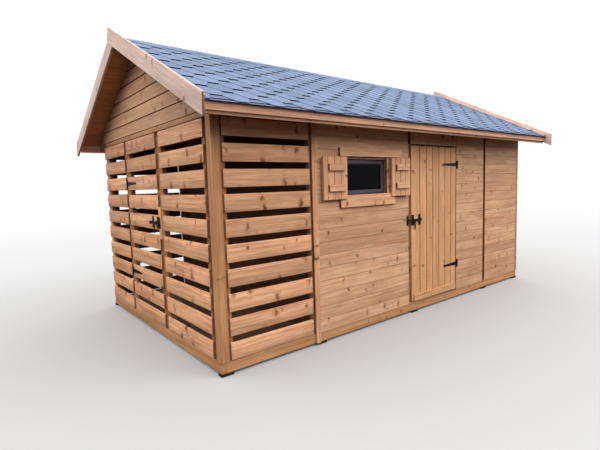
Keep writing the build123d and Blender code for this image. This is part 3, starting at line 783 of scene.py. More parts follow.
FINISH_MAKERS = {
    "slat": stained_slats,
    "wall": stained_wall_boards,
    "door": stained_door_boards,
    "post": planed_posts,
    "trim": planed_trim,
    "barge": pale_bargeboard_with_painted_highlight,
    "stud": shade_darkened_studs,
    "casing": planed_casing,
    "inside": shade_painted_boards,
    "roof": roof_board_finish,
    "floor": sawn_floor_boards,
    "sill": treated_sill,
    "packer": shade_black_packer,
    "iron": powder_coated_steel,
    "paint": painted_window,
    "glass": float_glass,
}


# Parts of walls


def turned(u0, u1, n0, n1, v0, v1, along):
    """The two corners of a box that runs along a wall: u along it, n through it, v up it."""
    if along == "X":
        return (u0, min(n0, n1), v0), (u1, max(n0, n1), v1)
    return (min(n0, n1), u0, v0), (max(n0, n1), u1, v1)


def spaced_studs(u0, u1):
    """Starts of the studs between two ends of a framed panel."""
    rounding = 1e-6
    count = max(1, math.ceil((u1 - u0) / STUD_PITCH - rounding))
    step = (u1 - u0 - STUD) / count
    return [u0 + index * step for index in range(count + 1)]


def stud_frame(u0, u1, n0, n1, v0, v1, along):
    """Upright studs between two rails."""
    # Studs take the darker stud finish, painted shade behind the boards.
    wood = finish("stud")
    parts = [
        board(*turned(u0, u1, n0, n1, v0, v0 + STUD, along), along, wood),
        board(*turned(u0, u1, n0, n1, v1 - STUD, v1, along), along, wood),
    ]
    for start in spaced_studs(u0, u1):
        parts.append(board(*turned(start, start + STUD, n0, n1, v0 + STUD, v1 - STUD, along), "Z", wood))
    return parts


def tongued_rows(u0, u1, v0, v1, pitch, hole=None):
    """Rectangles of horizontal boards that fill a wall, parted round a hole."""
    touch = 0.001
    cuts = []
    base = v0
    while base < v1 - SLIVER:
        top = min(base + pitch, v1)
        if hole and hole[2] < top - touch and hole[3] > base + touch:
            cuts.append((u0, hole[0], base, top))
            cuts.append((hole[1], u1, base, top))
            if hole[2] > base + SLIVER:
                cuts.append((hole[0], hole[1], base, hole[2]))
            if hole[3] < top - SLIVER:
                cuts.append((hole[0], hole[1], hole[3], top))
        else:
            cuts.append((u0, u1, base, top))
        base = top
    return cuts


def clad_wall(node, along, outward, hole=None, short=(0.0, 0.0)):
    """Tongued boards over a stud frame, in the place of a packed wall.

    short gives how far the boards stop before each end of the frame, so that the joint of
    two panels shows as a dark recess.
    """
    low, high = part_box(node)
    u = 0 if along == "X" else 1
    n = 1 - u
    face = high[n] if outward > 0 else low[n]
    boards = bpy.context.scene.log_store_boards
    # The partition takes the inside finish, painted shade of the dark store.
    wood = finish("inside" if node == "partition" else "wall")
    parts = []
    ends = (low[u] + short[0], high[u] - short[1])
    for u0, u1, v0, v1 in tongued_rows(*ends, low.z, high.z, boards.wall_pitch, hole):
        box = turned(u0, u1, face, face - outward * BOARD_T, v0, v1, along)
        parts.append(tongued_board(*box, along, wood, boards.groove))
    inner = face - outward * BOARD_T
    spans = [(low[u], high[u], low.z, high.z)]
    if hole:
        u0, u1, v0, v1 = hole
        spans = [
            (low[u], u0, low.z, high.z),
            (u1, high[u], low.z, high.z),
            (u0, u1, low.z, v0),
            (u0, u1, v1, high.z),
        ]
    for u0, u1, v0, v1 in spans:
        parts += stud_frame(u0, u1, inner, inner - outward * STUD, v0, v1, along)
    return joined(f"{node}_boards", parts)


def slat_boards(u0, u1, face, outward, along):
    """The ten spaced slats of a panel, none quite like the next."""
    boards = bpy.context.scene.log_store_boards
    parts = []
    for row in range(SLAT_COUNT):
        base = SLAT_BASE + row * SLAT_PITCH + draw.uniform(-SLAT_DRIFT, SLAT_DRIFT)
        front = face - outward * draw.uniform(0, SLAT_CUP)
        box = turned(u0, u1, front, face - outward * BOARD_T, base, base + SLAT_H, along)
        piece = board(*box, along, finish("slat"), boards.slat_edge, 2)
        # Faces towards the store take the inside finish: painted shade on the backs of the slats.
        inward = AXIS["Y" if along == "X" else "X"] * -outward
        for polygon in piece.data.polygons:
            if polygon.normal.dot(inward) > 0.9:
                polygon.material_index = 2
        parts.append(piece)
    return parts


def on_wall(points, face, along):
    """Places on the face of a wall, from distances along it and heights."""
    return [turned(u, u, face, face, height, height, along)[0] for u, height in points]


def slat_nails(u, face, along):
    """Places of the two nails in each slat at one distance along a wall."""
    points = []
    for row in range(SLAT_COUNT):
        for share in NAIL_SHARES:
            points.append((u, SLAT_BASE + row * SLAT_PITCH + SLAT_H * share))
    return on_wall(points, face, along)


def nail_heads(name, points, out, body, radius=NAIL_R):
    """Small domed heads, modelled once and copied to each point."""
    height, dome = 0.8 * radius, 0.45 * radius
    deselect()
    bpy.ops.mesh.primitive_cylinder_add(vertices=10, radius=radius, depth=height)
    first = bpy.context.object
    edit(first, "FACE", lambda face, mesh: face.normal.z > 0.9)
    bpy.ops.mesh.bevel(offset=dome, segments=2, affect="EDGES")
    close_edit()
    turn = Vector(out).to_track_quat("Z", "Y")
    first.data.materials.append(finish("iron")[0])
    parts = []
    for point in points:
        head = first.copy()
        head.data = first.data.copy()
        bpy.context.scene.collection.objects.link(head)
        head.rotation_mode = "QUATERNION"
        head.rotation_quaternion = turn
        head.location = point
        parts.append(head)
    bpy.data.objects.remove(first)
    deselect()
    for head in parts:
        head.select_set(True)
    bpy.context.view_layer.objects.active = parts[0]
    bpy.ops.object.transform_apply(location=True, rotation=True, scale=True)
    piece = joined(name, parts)
    soften(piece, 50)
    return fit(piece, "black_iron", body=body)


# Steps of the building


class LogStoreOperator:
    """What every step of the building shares."""

    bl_options = {"REGISTER", "UNDO"}


class SlatPanels(LogStoreOperator, bpy.types.Operator):
    """Slatted panels at the front, back and side of the store"""

    bl_idname = "log_store.slat_panels"
    bl_label = "Slat panels"

    def execute(self, context):
        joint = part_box("window_wall")[0].x - JOINT_HALF
        bay = (LEFT + SLATS_FROM_CORNER, joint - SLATS_FROM_JOINT)
        studs = [(u, u + STUD) for u in (LEFT + POST_W, joint - JOINT_HALF - STUD)]
        for node, face, outward in (("front_slats", FRONT, -1), ("back_slats", BACK, 1)):
            self.panel(node, bay, studs, face, outward, "X", WALL_TOP)
        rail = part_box("gable_rail")[0].z
        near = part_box("side_slats_near")
        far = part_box("side_slats_far")
        latch_post = (near[1].y - LATCH_POST_W, near[1].y)
        hinge_post = (far[0].y, far[0].y + HINGE_POST_W)
        near_stud = (near[0].y, near[0].y + STUD)
        far_stud = (BACK - POST_W - STUD, BACK - POST_W)
        near_slats = (near[0].y, near[1].y - LATCH_POST_SHOW)
        far_slats = (far[0].y + HINGE_POST_SHOW, far[1].y)
        self.panel("side_slats_near", near_slats, (near_stud, latch_post), LEFT, -1, "Y", rail)
        self.panel("side_slats_far", far_slats, (hinge_post, far_stud), LEFT, -1, "Y", rail)
        return {"FINISHED"}

    def panel(self, node, slats, studs, face, outward, along, top):
        """Slats nailed over two studs and a top rail, with their nails."""
        parts = slat_boards(*slats, face, outward, along)
        near = face - outward * BOARD_T
        far = near - outward * STUD
        for start, end in studs:
            box = turned(start, end, near, far, WALL_FOOT, top - STUD, along)
            # Studs take the darker stud finish as painted shade.
            parts.append(board(*box, "Z", finish("stud"), SAWN_EDGE))
        box = turned(studs[0][0], studs[-1][1], near, far, top - STUD, top, along)
        # The top rail takes the inside finish as painted shade.
        parts.append(board(*box, along, finish("inside"), SAWN_EDGE))
        piece = joined(f"{node}_boards", parts)
        soften(piece)
        fit(piece, "slat_boards", node)
        points = []
        for ends in studs:
            u = min(max(sum(ends) / 2, slats[0] + NAIL_MARGIN), slats[1] - NAIL_MARGIN)
            points += slat_nails(u, face - outward * NAIL_SINK, along)
        out = (0, outward, 0) if along == "X" else (outward, 0, 0)
        nail_heads(f"{node}_nails", points, out, BODY)


class BoardedWalls(LogStoreOperator, bpy.types.Operator):
    """Tongued boards and studs of the room's walls and of the partition"""

    bl_idname = "log_store.boarded_walls"
    bl_label = "Boarded walls"

    def execute(self, context):
        low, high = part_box("window_frame")
        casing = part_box("window_casing")
        opening = (low.x - WINDOW_PLAY, high.x + WINDOW_PLAY, low.z, low.z + WINDOW_OPENING_H)
        if not casing[0].z < low.z < casing[1].z:
            raise RuntimeError("the window opening lies outside its casing")
        whole, before_joint, after_joint = (0.0, 0.0), (0.0, RECESS_BEFORE), (RECESS_AFTER, 0.0)
        walls = (
            ("window_wall", "X", -1, opening, whole),
            ("front_wall_mid", "X", -1, None, before_joint),
            ("front_wall_end", "X", -1, None, after_joint),
            ("back_wall_mid", "X", 1, None, before_joint),
            ("back_wall_end", "X", 1, None, after_joint),
            ("end_wall", "Y", 1, None, whole),
            ("partition", "Y", -1, None, whole),
        )
        for node, *how in walls:
            fit(clad_wall(node, *how), "wall_boards", node)
        return {"FINISHED"}


class Gables(LogStoreOperator, bpy.types.Operator):
    """Horizontal boards that close the gables, cut to the roof's slope"""

    bl_idname = "log_store.gables"
    bl_label = "Gables"

    def execute(self, context):
        boards = context.scene.log_store_boards
        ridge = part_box("ridge_board")
        for node in ("left_gable", "right_gable", "partition_gable"):
            low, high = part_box(node)
            hole = None
            if node == "partition_gable":
                hole = (ridge[0].y, ridge[1].y, ridge[0].z, math.inf)
            parts = []
            for y0, y1, v0, v1 in tongued_rows(low.y, high.y, low.z, high.z, boards.gable_pitch, hole):
                piece = block((low.x, y0, v0), (high.x, y1, v1))
                ease(piece, boards.gable_groove)
                for side in (-1, 1):
                    up = (0, side * math.sin(ROOF_SLOPE), math.cos(ROOF_SLOPE))
                    saw(piece, (0, 0, RIDGE_UNDER), up)
                if piece.data.polygons:
                    parts.append(stain_grooves(give_grain(piece, AXIS["Y"], finish("wall"))))
                else:
                    bpy.data.objects.remove(piece)
            fit(joined(f"{node}_boards", parts), "wall_boards", node)
        return {"FINISHED"}


def longest(part):
    """The direction in which a straight timber runs."""
    spans = extents(part)
    return AXIS["XYZ"[spans.index(max(spans))]]


def down_slope(part):
    """The direction of a rafter or bargeboard, which falls from the ridge to its own eave."""
    middle = sum((Vector(corner) for corner in part.bound_box), Vector()) / 8
    side = -1 if middle.y < 0 else 1
    return Vector((0, side * math.cos(ROOF_SLOPE), -math.sin(ROOF_SLOPE)))


def fit_timbers(pieces, edge):
    """Makes each row of a list of timbers and hangs it: its name, solids, run, finish and slot."""
    for name, nodes, along, wood, slot in pieces:
        piece = timbers(name, nodes, along, finish(wood), edge)
        soften(piece)
        fit(piece, slot, *nodes)


class Timbers(LogStoreOperator, bpy.types.Operator):
    """Posts, sills, joists, plates, rafters, ridge board, cover strips and the board over the door"""

    bl_idname = "log_store.timbers"
    bl_label = "Timbers"

    def execute(self, context):
        edge = context.scene.log_store_boards.planed_edge
        pieces = (
            ("posts", ("store_posts", "room_posts"), "Z", "post", "post_timber"),
            ("joists", ("floor_joists",), "Y", "sill", "sill_timber"),
            ("sill_timbers", ("front_sills", "back_sills", "end_sills"), longest, "sill", "sill_timber"),
            ("packers", ("ground_pads",), longest, "packer", "packers"),
            ("plates", ("wall_plates",), "X", "post", "post_timber"),
            ("ridge_timber", ("ridge_board",), "X", "post", "post_timber"),
            ("rafter_timbers", ("rafters",), down_slope, "post", "post_timber"),
            ("gable_rail_timber", ("gable_rail",), "Y", "post", "post_timber"),
            # The cover strips take the lighter slat finish: partly their own redder tone, partly a painted
            # highlight for the light they catch.
            ("joint_cover_strips", ("cover_strips",), "Z", "slat", "post_timber"),
            ("latch_block", ("latch_backing",), "Z", "slat", "slat_boards"),
            ("hinge_blocks", ("hinge_packers",), "Z", "post", "slat_boards"),
            ("door_lining", ("door_surround",), longest, "post", "post_timber"),
        )
        fit_timbers(pieces, edge)
        self.door_head(edge)
        return {"FINISHED"}

    def door_head(self, edge):
        """A board over the door, level with the wall, and a strip set back in the recess beside it."""
        low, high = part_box("door_header")
        recess_end = ROOM_DOOR[0].x
        head = [
            board((recess_end, FRONT, low.z), high, "X", finish("slat"), edge),
            # The strip in the recess takes the darker stud finish, painted shade in the recess.
            board((low.x, high.y - BOARD_T, low.z), (recess_end, high.y, high.z), "Z", finish("stud"), edge),
        ]
        piece = joined("door_head_board", head)
        soften(piece)
        fit(piece, "wall_boards", "door_header")


class RoofTrim(LogStoreOperator, bpy.types.Operator):
    """Bargeboards and fascias"""

    bl_idname = "log_store.roof_trim"
    bl_label = "Roof trim"

    def execute(self, context):
        edge = context.scene.log_store_boards.planed_edge
        pieces = (
            ("barge_timbers", ("front_bargeboards", "back_bargeboards"), down_slope, "barge", "trim_timber"),
            ("verge_timbers", ("verge_battens",), down_slope, "barge", "trim_timber"),
            ("fascia_timbers", ("fascias",), "X", "trim", "trim_timber"),
        )
        fit_timbers(pieces, edge)
        self.drip_edges()
        return {"FINISHED"}

    def drip_edges(self):
        """A strip of black felt turned down over the end of the roof boards, above each fascia."""
        out, back, foot, head, edge = 0.004, 0.012, 0.0003, 0.0118, 0.001
        low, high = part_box("fascias")
        felt = mineral_felt("black_bitumen_edge", colour("bitumen"), 0.0)
        parts = []
        for side in (-1, 1):
            face = side * high.y
            y0, y1 = sorted((face + side * out, face - side * back))
            piece = block((low.x, y0, high.z + foot), (high.x, y1, high.z + head))
            ease(piece, edge)
            give_tones(piece, [0.0] * len(piece.data.vertices))
            piece.data.materials.append(felt)
            parts.append(piece)
        fit(joined("drip_edges", parts), "shingles")


def slope_length(low, high):
    """Length of a slope from the ridge line to the eave of what lies between two corners."""
    return max(abs(low.y), abs(high.y)) / math.cos(ROOF_SLOPE)


def to_roof(piece, side):
    """Tips what was made flat, with Y down the slope, onto the front slope (-1) or the back one (1)."""
    piece.rotation_euler = (-side * ROOF_SLOPE, 0, 0)
    piece.location = (0, 0, RIDGE_UNDER)
    apply_place(piece)


class RoofBoards(LogStoreOperator, bpy.types.Operator):
    """Roof boards that run from gable to gable and show under the overhangs"""

    bl_idname = "log_store.roof_boards"
    bl_label = "Roof boards"

    def execute(self, context):
        boards = context.scene.log_store_boards
        for node, side in (("front_deck", -1), ("back_deck", 1)):
            low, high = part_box(node)
            eave = slope_length(low, high)
            count = round(eave / boards.deck_pitch)
            pitch = eave / count
            parts = []
            for row in range(count):
                y0, y1 = sorted((side * row * pitch, side * (row + 1) * pitch))
                parts.append(board((low.x, y0, 0), (high.x, y1, DECK_T), "X", finish("roof"), boards.groove))
            piece = joined(f"{node}_boards", parts)
            to_roof(piece, side)
            saw(piece, (0, 0, 0), (0, -side, 0))
            fit(piece, "roof_boards", node)
        return {"FINISHED"}


class Shingles(LogStoreOperator, bpy.types.Operator):
    """Six-sided felt tabs in overlapping courses, and the caps along the ridge"""

    bl_idname = "log_store.shingles"
    bl_label = "Shingles"

    def execute(self, context):
        roof = context.scene.log_store_roof
        felt = mineral_felt("slate_granule_felt", colour("shingle"), 0.13)
        # The dark band felt is printed granules and a painted shadow under the next tab.
        shade = mineral_felt("dark_granule_band", colour("shingle_shade"), 0.05)
        for node, side in (("front_shingles", -1), ("back_shingles", 1)):
            low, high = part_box(node)
            piece = self.courses(roof, low.x, high.x, slope_length(low, high), (felt, shade), side)
            piece.name = f"{node}_tabs"
            fit(piece, "shingles", node)
        self.caps(roof, felt)
        return {"FINISHED"}

    def tab(self, roof, materials):
        """One tab with its share of the strip above, its lower edge at y = 0 and uphill towards +Y."""
        pitch, flat, rise = roof.tab_pitch, roof.tab_flat, roof.exposure
        tucked, near = 0.02, 0.0005
        shoulder = (pitch - flat) / 2
        shade_start = 2 * rise - roof.shade_band
        top = 2 * rise + tucked
        deselect()
        bpy.ops.mesh.primitive_plane_add(size=1, location=(0, (rise + top) / 2, 0))
        piece = bpy.context.object
        piece.scale = (pitch, top - rise, 1)
        bpy.ops.object.transform_apply(location=True, rotation=True, scale=True)
        cuts = [((x, 0, 0), (1, 0, 0)) for x in (-shoulder, -flat / 2, flat / 2, shoulder)]
        for point, normal in (*cuts, ((0, shade_start, 0), (0, 1, 0))):
            edit(piece)
            bpy.ops.mesh.bisect(plane_co=point, plane_no=normal)
            close_edit()

        def lower_edge(edge, mesh):
            a, b = (mesh.vertices[i].co for i in edge.vertices)
            return max(a.y, b.y) < rise + near and abs(a.x + b.x) / 2 < shoulder

        edit(piece, "EDGE", lower_edge)
        bpy.ops.mesh.extrude_region_move(TRANSFORM_OT_translate={"value": (0, -rise, 0)})
        close_edit()
        for vertex in piece.data.vertices:
            if vertex.co.y < near:
                outer = abs(vertex.co.x) > flat / 2 + 2 * near
                vertex.co.x = math.copysign(flat / 2 if outer else flat / 6, vertex.co.x)
        edit(piece)
        bpy.ops.mesh.extrude_region_move(TRANSFORM_OT_translate={"value": (0, 0, roof.felt)})
        bpy.ops.mesh.select_all(action="SELECT")
        bpy.ops.mesh.normals_make_consistent(inside=False)
        close_edit()
        for material in materials:
            piece.data.materials.append(material)
        for face in piece.data.polygons:
            # The band under the next tab and the lower edge faces take the dark felt: printed granules and
            # bitumen edge, partly a painted shadow.
            banded = face.center.y > shade_start and abs(face.center.x) < flat / 2 and face.normal.z > 0.5
            lower_face = face.normal.y < -0.5
            face.material_index = 1 if banded or lower_face else 0
        return piece

    def courses(self, roof, x0, x1, eave, materials, side):
        """All the courses of one slope."""
        pitch, rise, felt = roof.tab_pitch, roof.exposure, roof.felt
        layers_below, starter_depth, starter_edge, ridge_gap = 2.2, 0.25, 0.0005, 0.004
        lift = DECK_T + layers_below * felt
        across = math.ceil((x1 - x0) / pitch) + 2
        rows = math.ceil(eave / rise) + 1
        parts = []
        for parity in (0, 1):
            up = math.ceil((rows - parity) / 2)
            piece = self.tab(roof, materials)
            piece.rotation_euler = (-math.atan(felt / rise), 0, 0)
            piece.location = (x0 + TAB_PHASE - 2 * pitch + parity * pitch / 2, -eave + parity * rise, lift)
            apply_place(piece)
            per_tab = len(piece.data.vertices)
            repeated(piece, across, (pitch, 0, 0))
            repeated(piece, up, (0, 2 * rise, 0))
            give_tones(piece, [tone for _ in range(across * up) for tone in [draw.random()] * per_tab])
            parts.append(piece)
        starter = block((x0, -eave, DECK_T), (x1, -eave + starter_depth, DECK_T + felt))
        ease(starter, starter_edge)
        starter.data.materials.append(materials[0])
        give_tones(starter, [0.0] * len(starter.data.vertices))
        piece = joined("tabs", parts + [starter])
        for point, normal in (
            ((x0, 0, 0), (-1, 0, 0)),
            ((x1, 0, 0), (1, 0, 0)),
            ((0, -ridge_gap, 0), (0, 1, 0)),
        ):
            saw(piece, point, normal)
        if side > 0:
            piece.rotation_euler = (0, 0, math.pi)
            apply_place(piece)
        to_roof(piece, side)
        return piece

    def caps(self, roof, felt):
        """Folded pieces lapped along the ridge."""
        low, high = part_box("ridge_cap")
        lap, length, drop, layers_tilt = 0.142, 0.24, 0.0075, 0.6
        width = high.y - low.y
        count = math.ceil((high.x - low.x - length) / lap) + 1
        step = (high.x - low.x - length) / (count - 1)
        deselect()
        bpy.ops.mesh.primitive_grid_add(x_subdivisions=2, y_subdivisions=2, size=1)
        piece = bpy.context.object
        piece.scale = (length, width, 1)
        bpy.ops.object.transform_apply(location=True, rotation=True, scale=True)
        edit(piece, "VERT", lambda vertex, mesh: abs(vertex.co.y) > 0.001)
        bpy.ops.transform.translate(value=(0, 0, -math.tan(ROOF_SLOPE) * width / 2))
        close_edit()
        modified(piece, "SOLIDIFY", thickness=roof.felt, offset=1)
        piece.rotation_euler = (0, -math.atan(roof.felt * layers_tilt / lap), 0)
        piece.location = (low.x + length / 2, 0, high.z - drop)
        apply_place(piece)
        per_cap = len(piece.data.vertices)
        repeated(piece, count, (step, 0, 0))
        give_tones(piece, [tone for _ in range(count) for tone in [draw.random()] * per_cap])
        piece.data.materials.append(felt)
        piece.name = "ridge_caps"
        fit(piece, "shingles", "ridge_cap")


class Floors(LogStoreOperator, bpy.types.Operator):
    """Floor boards of the store and of the room"""

    bl_idname = "log_store.floors"
    bl_label = "Floors"

    def execute(self, context):
        boards = context.scene.log_store_boards
        for node in ("store_floor", "room_floor"):
            low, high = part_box(node)
            count = round((high.y - low.y) / boards.floor_pitch)
            pitch = (high.y - low.y) / count
            parts = []
            for row in range(count):
                y = low.y + row * pitch
                box = (low.x, y, low.z), (high.x, y + pitch, high.z)
                parts.append(board(*box, "X", finish("floor"), SAWN_EDGE))
            fit(joined(f"{node}_planks", parts), "floor_boards", node)
        return {"FINISHED"}


class RoomDoor(LogStoreOperator, bpy.types.Operator):
    """Ledged door of upright boards with a weather bar along its foot"""

    bl_idname = "log_store.room_door"
    bl_label = "Room door"

    def execute(self, context):
        low, high = ROOM_DOOR
        groove = context.scene.log_store_boards.door_groove
        wood = finish("door")
        board_starts = (0, 0.161, 0.287, 0.407, 0.532, 0.658, 0.777)
        ledge_h, ledge_from_end, ledge_from_edge, ledge_edge = 0.095, 0.160, 0.038, 0.006
        bar_h, bar_from_hinge, bar_edge = 0.074, 0.020, 0.004
        nail_shares = (0.3, 0.7)
        edges = [low.x + start for start in board_starts] + [high.x]
        parts = []
        for x0, x1 in zip(edges, edges[1:]):
            parts.append(tongued_board((x0, FRONT, low.z), (x1, FRONT + BOARD_T, high.z), "Z", wood, groove))
        bases = (low.z + ledge_from_end, (low.z + high.z - ledge_h) / 2, high.z - ledge_from_end - ledge_h)
        for base in bases:
            near = (low.x + ledge_from_edge, FRONT + BOARD_T, base)
            far = (high.x - ledge_from_edge, high.y, base + ledge_h)
            parts.append(board(near, far, "X", wood, ledge_edge))
        near = (low.x + ledge_from_edge, low.y, low.z)
        far = (high.x - bar_from_hinge, FRONT, low.z + bar_h)
        parts.append(board(near, far, "X", wood, bar_edge))
        piece = joined("room_door_boards", parts)
        fit(piece, "door_boards", "room_door", body="room_door")
        points = []
        for base in bases:
            for x0, x1 in zip(edges, edges[1:]):
                for share in nail_shares:
                    points.append(((x0 + x1) / 2, FRONT + NAIL_SINK, base + ledge_h * share))
        nail_heads("room_door_nails", points, (0, -1, 0), "room_door")
        return {"FINISHED"}


class StoreDoor(LogStoreOperator, bpy.types.Operator):
    """Slatted door of the log store on its frame"""

    bl_idname = "log_store.store_door"
    bl_label = "Store door"

    def execute(self, context):
        low, high = STORE_DOOR
        parts = slat_boards(low.y, high.y, LEFT, -1, "Y")
        near, far = LEFT + BOARD_T, high.x
        # The door frame takes the darker stud finish, painted shade behind the slats.
        wood = finish("stud")
        for y in (low.y, high.y - STUD):
            parts.append(board((near, y, low.z), (far, y + STUD, high.z), "Z", wood, SAWN_EDGE))
        for z in (low.z, high.z - STUD):
            parts.append(board((near, low.y + STUD, z), (far, high.y - STUD, z + STUD), "Y", wood, SAWN_EDGE))
        piece = joined("store_door_boards", parts)
        soften(piece)
        fit(piece, "slat_boards", "store_door", body="store_door")
        points = []
        for y in (low.y + STUD / 2, high.y - STUD / 2):
            points += slat_nails(y, LEFT + NAIL_SINK, "Y")
        nail_heads("store_door_nails", points, (-1, 0, 0), "store_door")
        return {"FINISHED"}


class Window(LogStoreOperator, bpy.types.Operator):
    """Window frame with beads, its pane and the casing boards round it"""

    bl_idname = "log_store.window"
    bl_label = "Window"

    def execute(self, context):
        sash_edge, casing_edge = 0.004, 0.003
        sash = rounded(solid_copy("window_frame"), sash_edge, 2)
        sash.name = sash.data.name = "window_sash"
        sash.data.materials.append(finish("paint")[0])
        soften(sash)
        fit(sash, "window_paint", "window_frame")
        recoat("window_glass", finish("glass")[0])
        self.beads()
        casing = timbers("casing_boards", ("window_casing",), "X", finish("casing"), casing_edge)
        soften(casing)
        fit(casing, "door_boards", "window_casing")
        return {"FINISHED"}

    def beads(self):
        """Four beads round the pane."""
        low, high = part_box("window_glass")
        bead = 0.009
        outer = low.y - bead
        parts = []
        for x0, x1, z0, z1 in (
            (low.x, high.x, low.z, low.z + bead),
            (low.x, high.x, high.z - bead, high.z),
            (low.x, low.x + bead, low.z + bead, high.z - bead),
            (high.x - bead, high.x, low.z + bead, high.z - bead),
        ):
            piece = block((x0, outer, z0), (x1, low.y, z1))
            ease(piece, bead / 3)
            piece.data.materials.append(finish("paint")[0])
            parts.append(piece)
        fit(joined("glazing_beads", parts), "window_paint")


class Shutters(LogStoreOperator, bpy.types.Operator):
    """Two fixed shutters of upright boards with battens across"""

    bl_idname = "log_store.shutters"
    bl_label = "Shutters"

    def execute(self, context):
        stand_off, batten_t, batten_h = 0.026, 0.020, 0.063
        widths, groove = (0.058, 0.082, 0.082, 0.082), 0.0025
        batten_heights, batten_edge = (0.075, 0.264), 0.003
        batten_from_left, batten_from_right, packing_from_edge = 0.062, 0.040, 0.066
        face = FRONT - stand_off - BOARD_T
        wood = finish("casing")
        for node in ("left_shutter", "right_shutter"):
            low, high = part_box(node)
            scale = (high.x - low.x) / sum(widths)
            x = low.x
            parts = []
            for width in widths:
                x1 = x + width * scale
                parts.append(tongued_board((x, face, low.z), (x1, face + BOARD_T, high.z), "Z", wood, groove))
                x = x1
            for height in batten_heights:
                base = low.z + height
                near = (low.x + batten_from_left, face - batten_t, base)
                far = (high.x - batten_from_right, face, base + batten_h)
                parts.append(board(near, far, "X", wood, batten_edge))
                near = (low.x + packing_from_edge, FRONT - stand_off, base)
                far = (high.x - packing_from_edge, FRONT, base + batten_h)
                parts.append(board(near, far, "X", wood, SAWN_EDGE))
            fit(joined(f"{node}_boards", parts), "door_boards", node)
        return {"FINISHED"}


class Ironwork(LogStoreOperator, bpy.types.Operator):
    """Powder-coated hinges and latches, and the screws that hold them"""

    bl_idname = "log_store.ironwork"
    bl_label = "Ironwork"

    def execute(self, context):
        for node in (
            "room_hinge_straps", "store_hinge_straps", "hinge_leaves",
            "room_door_latch", "store_door_latch", "latch_keepers",
        ):
            recoat(node, finish("iron")[0])
        room = ("room", FRONT - PLATE_T, "X", (0, -1, 0))
        store = ("store", LEFT - PLATE_T, "Y", (-1, 0, 0))
        self.hinge_screws(*room)
        self.hinge_screws(*store)
        self.latch_screws(*room, ROOM_DOOR[0].x, ROOM_LATCH_Z)
        self.latch_screws(*store, STORE_DOOR[0].y, STORE_LATCH_Z)
        self.keeper_screws(*room[1:])
        return {"FINISHED"}

    def hinge_screws(self, door, face, along, out):
        """Three bolts through each strap and three screws in each leaf."""
        half_strap, half_pin, leaf_from_pin = 0.022, 0.006, 0.027
        bolts_from_pin, screw_steps = (0.06, 0.15, 0.24), (-0.034, 0, 0.034)
        low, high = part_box(f"{door}_hinge_straps")
        heights = (low.z + half_strap, high.z - half_strap)
        pin = (high.x if along == "X" else high.y) - half_pin
        bolts = [(pin - reach, z) for z in heights for reach in bolts_from_pin]
        nail_heads(f"{door}_strap_bolts", on_wall(bolts, face, along), out, f"{door}_door", BOLT_R)
        screws = [(pin + leaf_from_pin, z + step) for z in heights for step in screw_steps]
        nail_heads(f"{door}_leaf_screws", on_wall(screws, face, along), out, BODY, SCREW_R)

    def latch_screws(self, door, face, along, out, edge, middle):
        """Four screws in each of the two plates of a latch."""
        plate_starts, half_plate, across, up = (0.006, 0.128), 0.022, 0.014, 0.048
        screws = [
            (edge + start + half_plate + u, middle + z)
            for start in plate_starts for u in (-across, across) for z in (-up, up)
        ]
        nail_heads(f"{door}_latch_screws", on_wall(screws, face, along), out, f"{door}_door", SCREW_R)

    def keeper_screws(self, face, along, out):
        """Two screws in the keeper beside the room door."""
        from_edge, up = 0.010, 0.044
        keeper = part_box("latch_keepers")[1].x - from_edge
        screws = [(keeper, ROOM_LATCH_Z - up), (keeper, ROOM_LATCH_Z + up)]
        nail_heads("room_keeper_screws", on_wall(screws, face, along), out, BODY, SCREW_R)


